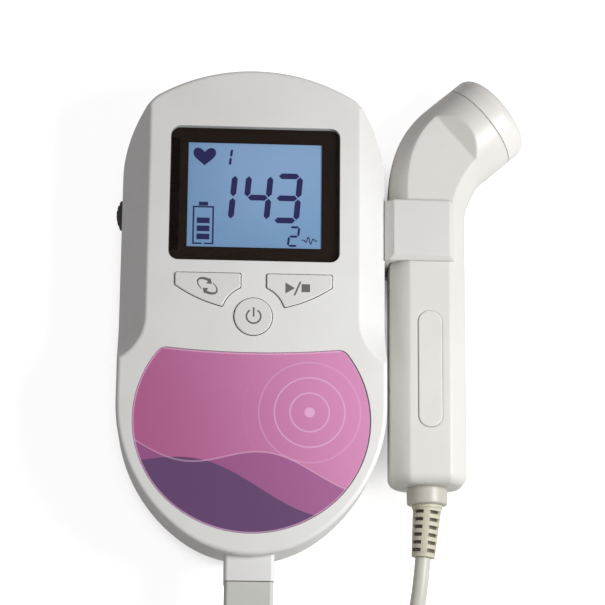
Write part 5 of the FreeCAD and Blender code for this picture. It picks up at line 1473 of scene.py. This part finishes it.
@dataclass
class Works(SubAssembly):
    """What the monitor holds: display stack, board, controls, battery and speaker."""

    coats: dict[str, Coat] = field(default_factory=lambda: {
        "lcd_panel": Coat.PANEL, "backlight": Coat.DIFFUSER, "lcd_holder": Coat.HOLDER,
        "main_board": Coat.BOARD, "processor_chip": Coat.CHIP, "mode_switch": Coat.SWITCH,
        "start_stop_switch": Coat.SWITCH, "power_switch": Coat.SWITCH, "volume_pot": Coat.CONTROL,
        "earphone_jack": Coat.BLACK, "probe_socket": Coat.BLACK, "board_screws": Coat.STEEL,
        "plate_contacts": Coat.NICKEL, "spring_contacts": Coat.NICKEL, "upper_cell": Coat.UPPER_CELL,
        "lower_cell": Coat.LOWER_CELL, "speaker_basket": Coat.BASKET, "speaker_cone": Coat.CONE,
        "speaker_gasket": Coat.GASKET, "speaker_magnet": Coat.MAGNET,
    })


@dataclass
class Probe(SubAssembly):
    """The bent probe, what it holds, and the plug on the cord's other end."""

    coats: dict[str, Coat] = field(default_factory=lambda: {
        "probe_front_shell": Coat.PROBE, "probe_rear_shell": Coat.PROBE, "probe_badge": Coat.BADGE,
        "probe_cap": Coat.CAP, "probe_collar": Coat.COLLAR, "probe_relief": Coat.RELIEF,
        "probe_board": Coat.BOARD, "probe_screws": Coat.STEEL, "transmit_crystal": Coat.CRYSTAL,
        "receive_crystal": Coat.CRYSTAL, "crystal_backing": Coat.BACKING, "probe_plug": Coat.PLUG,
        "plug_relief": Coat.PLUG,
    })


# ---------------------------------------------------------------- studio


@dataclass
class Studio:
    """The floor, the lights and the camera."""

    azimuth: float = -11.3
    elevation: float = 75.6
    roll: float = 0.51
    distance: float = 600.0
    target: Point = (14.2, 5.7, 15.0)
    focal_pixels: float = 2148.0
    image_pixels: float = 605.0
    sensor: float = 36.0
    world_light: float = 0.27
    world_tone: Colour = (1.0, 0.95, 0.985, 1.0)
    lamp_place: Point = (215.0, -30.0, 235.0)
    lamp_aim: Point = (10.0, 0.0, 20.0)
    lamp_side: float = 120.0
    lamp_power: float = 0.75
    floor_side: float = 3000.0
    floor_lift: float = 0.77
    floor_drop: float = 0.02
    shade_reach: float = 10.0
    clip_range: tuple[float, float] = (0.02, 20.0)

    def camera(self) -> None:
        """Places the camera on its line of sight, with its own slight roll."""
        turn, rise = math.radians(self.azimuth), math.radians(self.elevation)
        back = Vector((math.sin(turn) * math.cos(rise), -math.cos(turn) * math.cos(rise), math.sin(rise)))
        level = Vector((0, 1, 0)).cross(back).normalized()
        upright = back.cross(level)
        roll = math.radians(self.roll)
        right = level * math.cos(roll) + upright * math.sin(roll)
        top = upright * math.cos(roll) - level * math.sin(roll)
        data = bpy.data.cameras.new("camera")
        data.sensor_width = self.sensor
        data.lens = self.focal_pixels * self.sensor / self.image_pixels
        data.clip_start, data.clip_end = self.clip_range
        holder = bpy.data.objects.new("camera", data)
        place = (Vector(self.target) + back * self.distance) * MM
        axes = Matrix((right, top, back)).transposed().to_4x4()
        holder.matrix_world = Matrix.Translation(place) @ axes
        bpy.context.scene.collection.objects.link(holder)
        bpy.context.scene.camera = holder

    def lamp(self) -> None:
        """One large soft lamp, up and to the right."""
        data = bpy.data.lights.new("soft_lamp", "AREA")
        data.shape = "SQUARE"
        data.size = self.lamp_side * MM
        data.energy = self.lamp_power
        holder = bpy.data.objects.new("soft_lamp", data)
        holder.location = Vector(self.lamp_place) * MM
        aim = Vector(self.lamp_aim) - Vector(self.lamp_place)
        holder.rotation_mode = "QUATERNION"
        holder.rotation_quaternion = aim.to_track_quat("-Z", "Y")
        bpy.context.scene.collection.objects.link(holder)

    def world(self) -> None:
        """An even white surround: plain light on the object, full white to camera and gloss."""
        world = bpy.data.worlds.new("surround")
        world.use_nodes = True
        book = NodeBook(world.node_tree)
        camera_ray = book.node("ShaderNodeLightPath", {}, {}, "Is Camera Ray")
        paths = camera_ray.socket.node
        seen = camera_ray + Value(book, paths.outputs["Is Glossy Ray"]) + Value(
            book, paths.outputs["Is Transmission Ray"])
        share = book.math("MINIMUM", seen, 1.0)
        light = book.node("ShaderNodeBackground", {}, {
            "Color": book.blend(share, self.world_tone, (1, 1, 1, 1)),
            "Strength": share * (1 - self.world_light) + self.world_light})
        book.node("ShaderNodeOutputWorld", {}, {"Surface": light})
        bpy.context.scene.world = world

    def floor(self) -> None:
        """A pale floor: white where the lamp reaches it, with soft painted shade close to the object."""
        half = self.floor_side / 2
        outline = np.array([(-half, -half), (half, -half), (half, half), (-half, half)])
        shape = Shape(np.column_stack([outline, np.full(4, -self.floor_drop)]), [[0, 1, 2, 3]])
        piece = shape.to_object("floor")
        material = bpy.data.materials.new("floor_paper")
        material.use_nodes = True
        book = NodeBook(material.node_tree)
        camera_ray = book.node("ShaderNodeLightPath", {}, {}, "Is Camera Ray")
        # painted shade: the floor's glow to the camera is held back close to the object
        near = book.node(
            "ShaderNodeAmbientOcclusion", {"samples": 8},
            {"Distance": self.shade_reach * MM, "Color": (1, 1, 1, 1)}, "AO")
        open_air = near.rise(0.05, 0.7)
        fibre = book.noise(book.place(), 0.8, 3.0)
        base = book.surface({
            "Base Color": book.blend(fibre, tint(226, 226, 226), tint(232, 232, 231)), "Roughness": 0.9,
            "Specular IOR Level": 0.1, "Normal": book.bump(fibre, 0.01)})
        lift = book.node("ShaderNodeEmission", {}, {
            "Color": (1, 1, 1, 1), "Strength": camera_ray * open_air * self.floor_lift})
        book.finish(book.node("ShaderNodeAddShader", {}, {0: base, 1: lift}))
        piece.data.materials.append(material)

    def build(self) -> None:
        """Sets the whole studio."""
        scene = bpy.context.scene
        scene.view_settings.view_transform = "Standard"
        self.camera()
        self.lamp()
        self.world()
        self.floor()
        LOG.info("studio is set")


def corners(box: tuple[Vector, Vector]) -> list[list[float]]:
    """A box's two corners as plain lists."""
    return [[float(x) for x in corner] for corner in box]


def main() -> None:
    """Builds and dresses everything in order."""
    logging.basicConfig(level=logging.INFO, format="%(name)s: %(message)s", force=True)
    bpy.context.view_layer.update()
    wardrobe = Wardrobe()
    Studio().build()
    Cord(wardrobe).build()
    Display(wardrobe).build()
    KeyMarks(wardrobe).build()
    Housing(wardrobe).dress()
    Works(wardrobe).dress()
    Probe(wardrobe).dress()


if __name__ == "__main__":
    main()
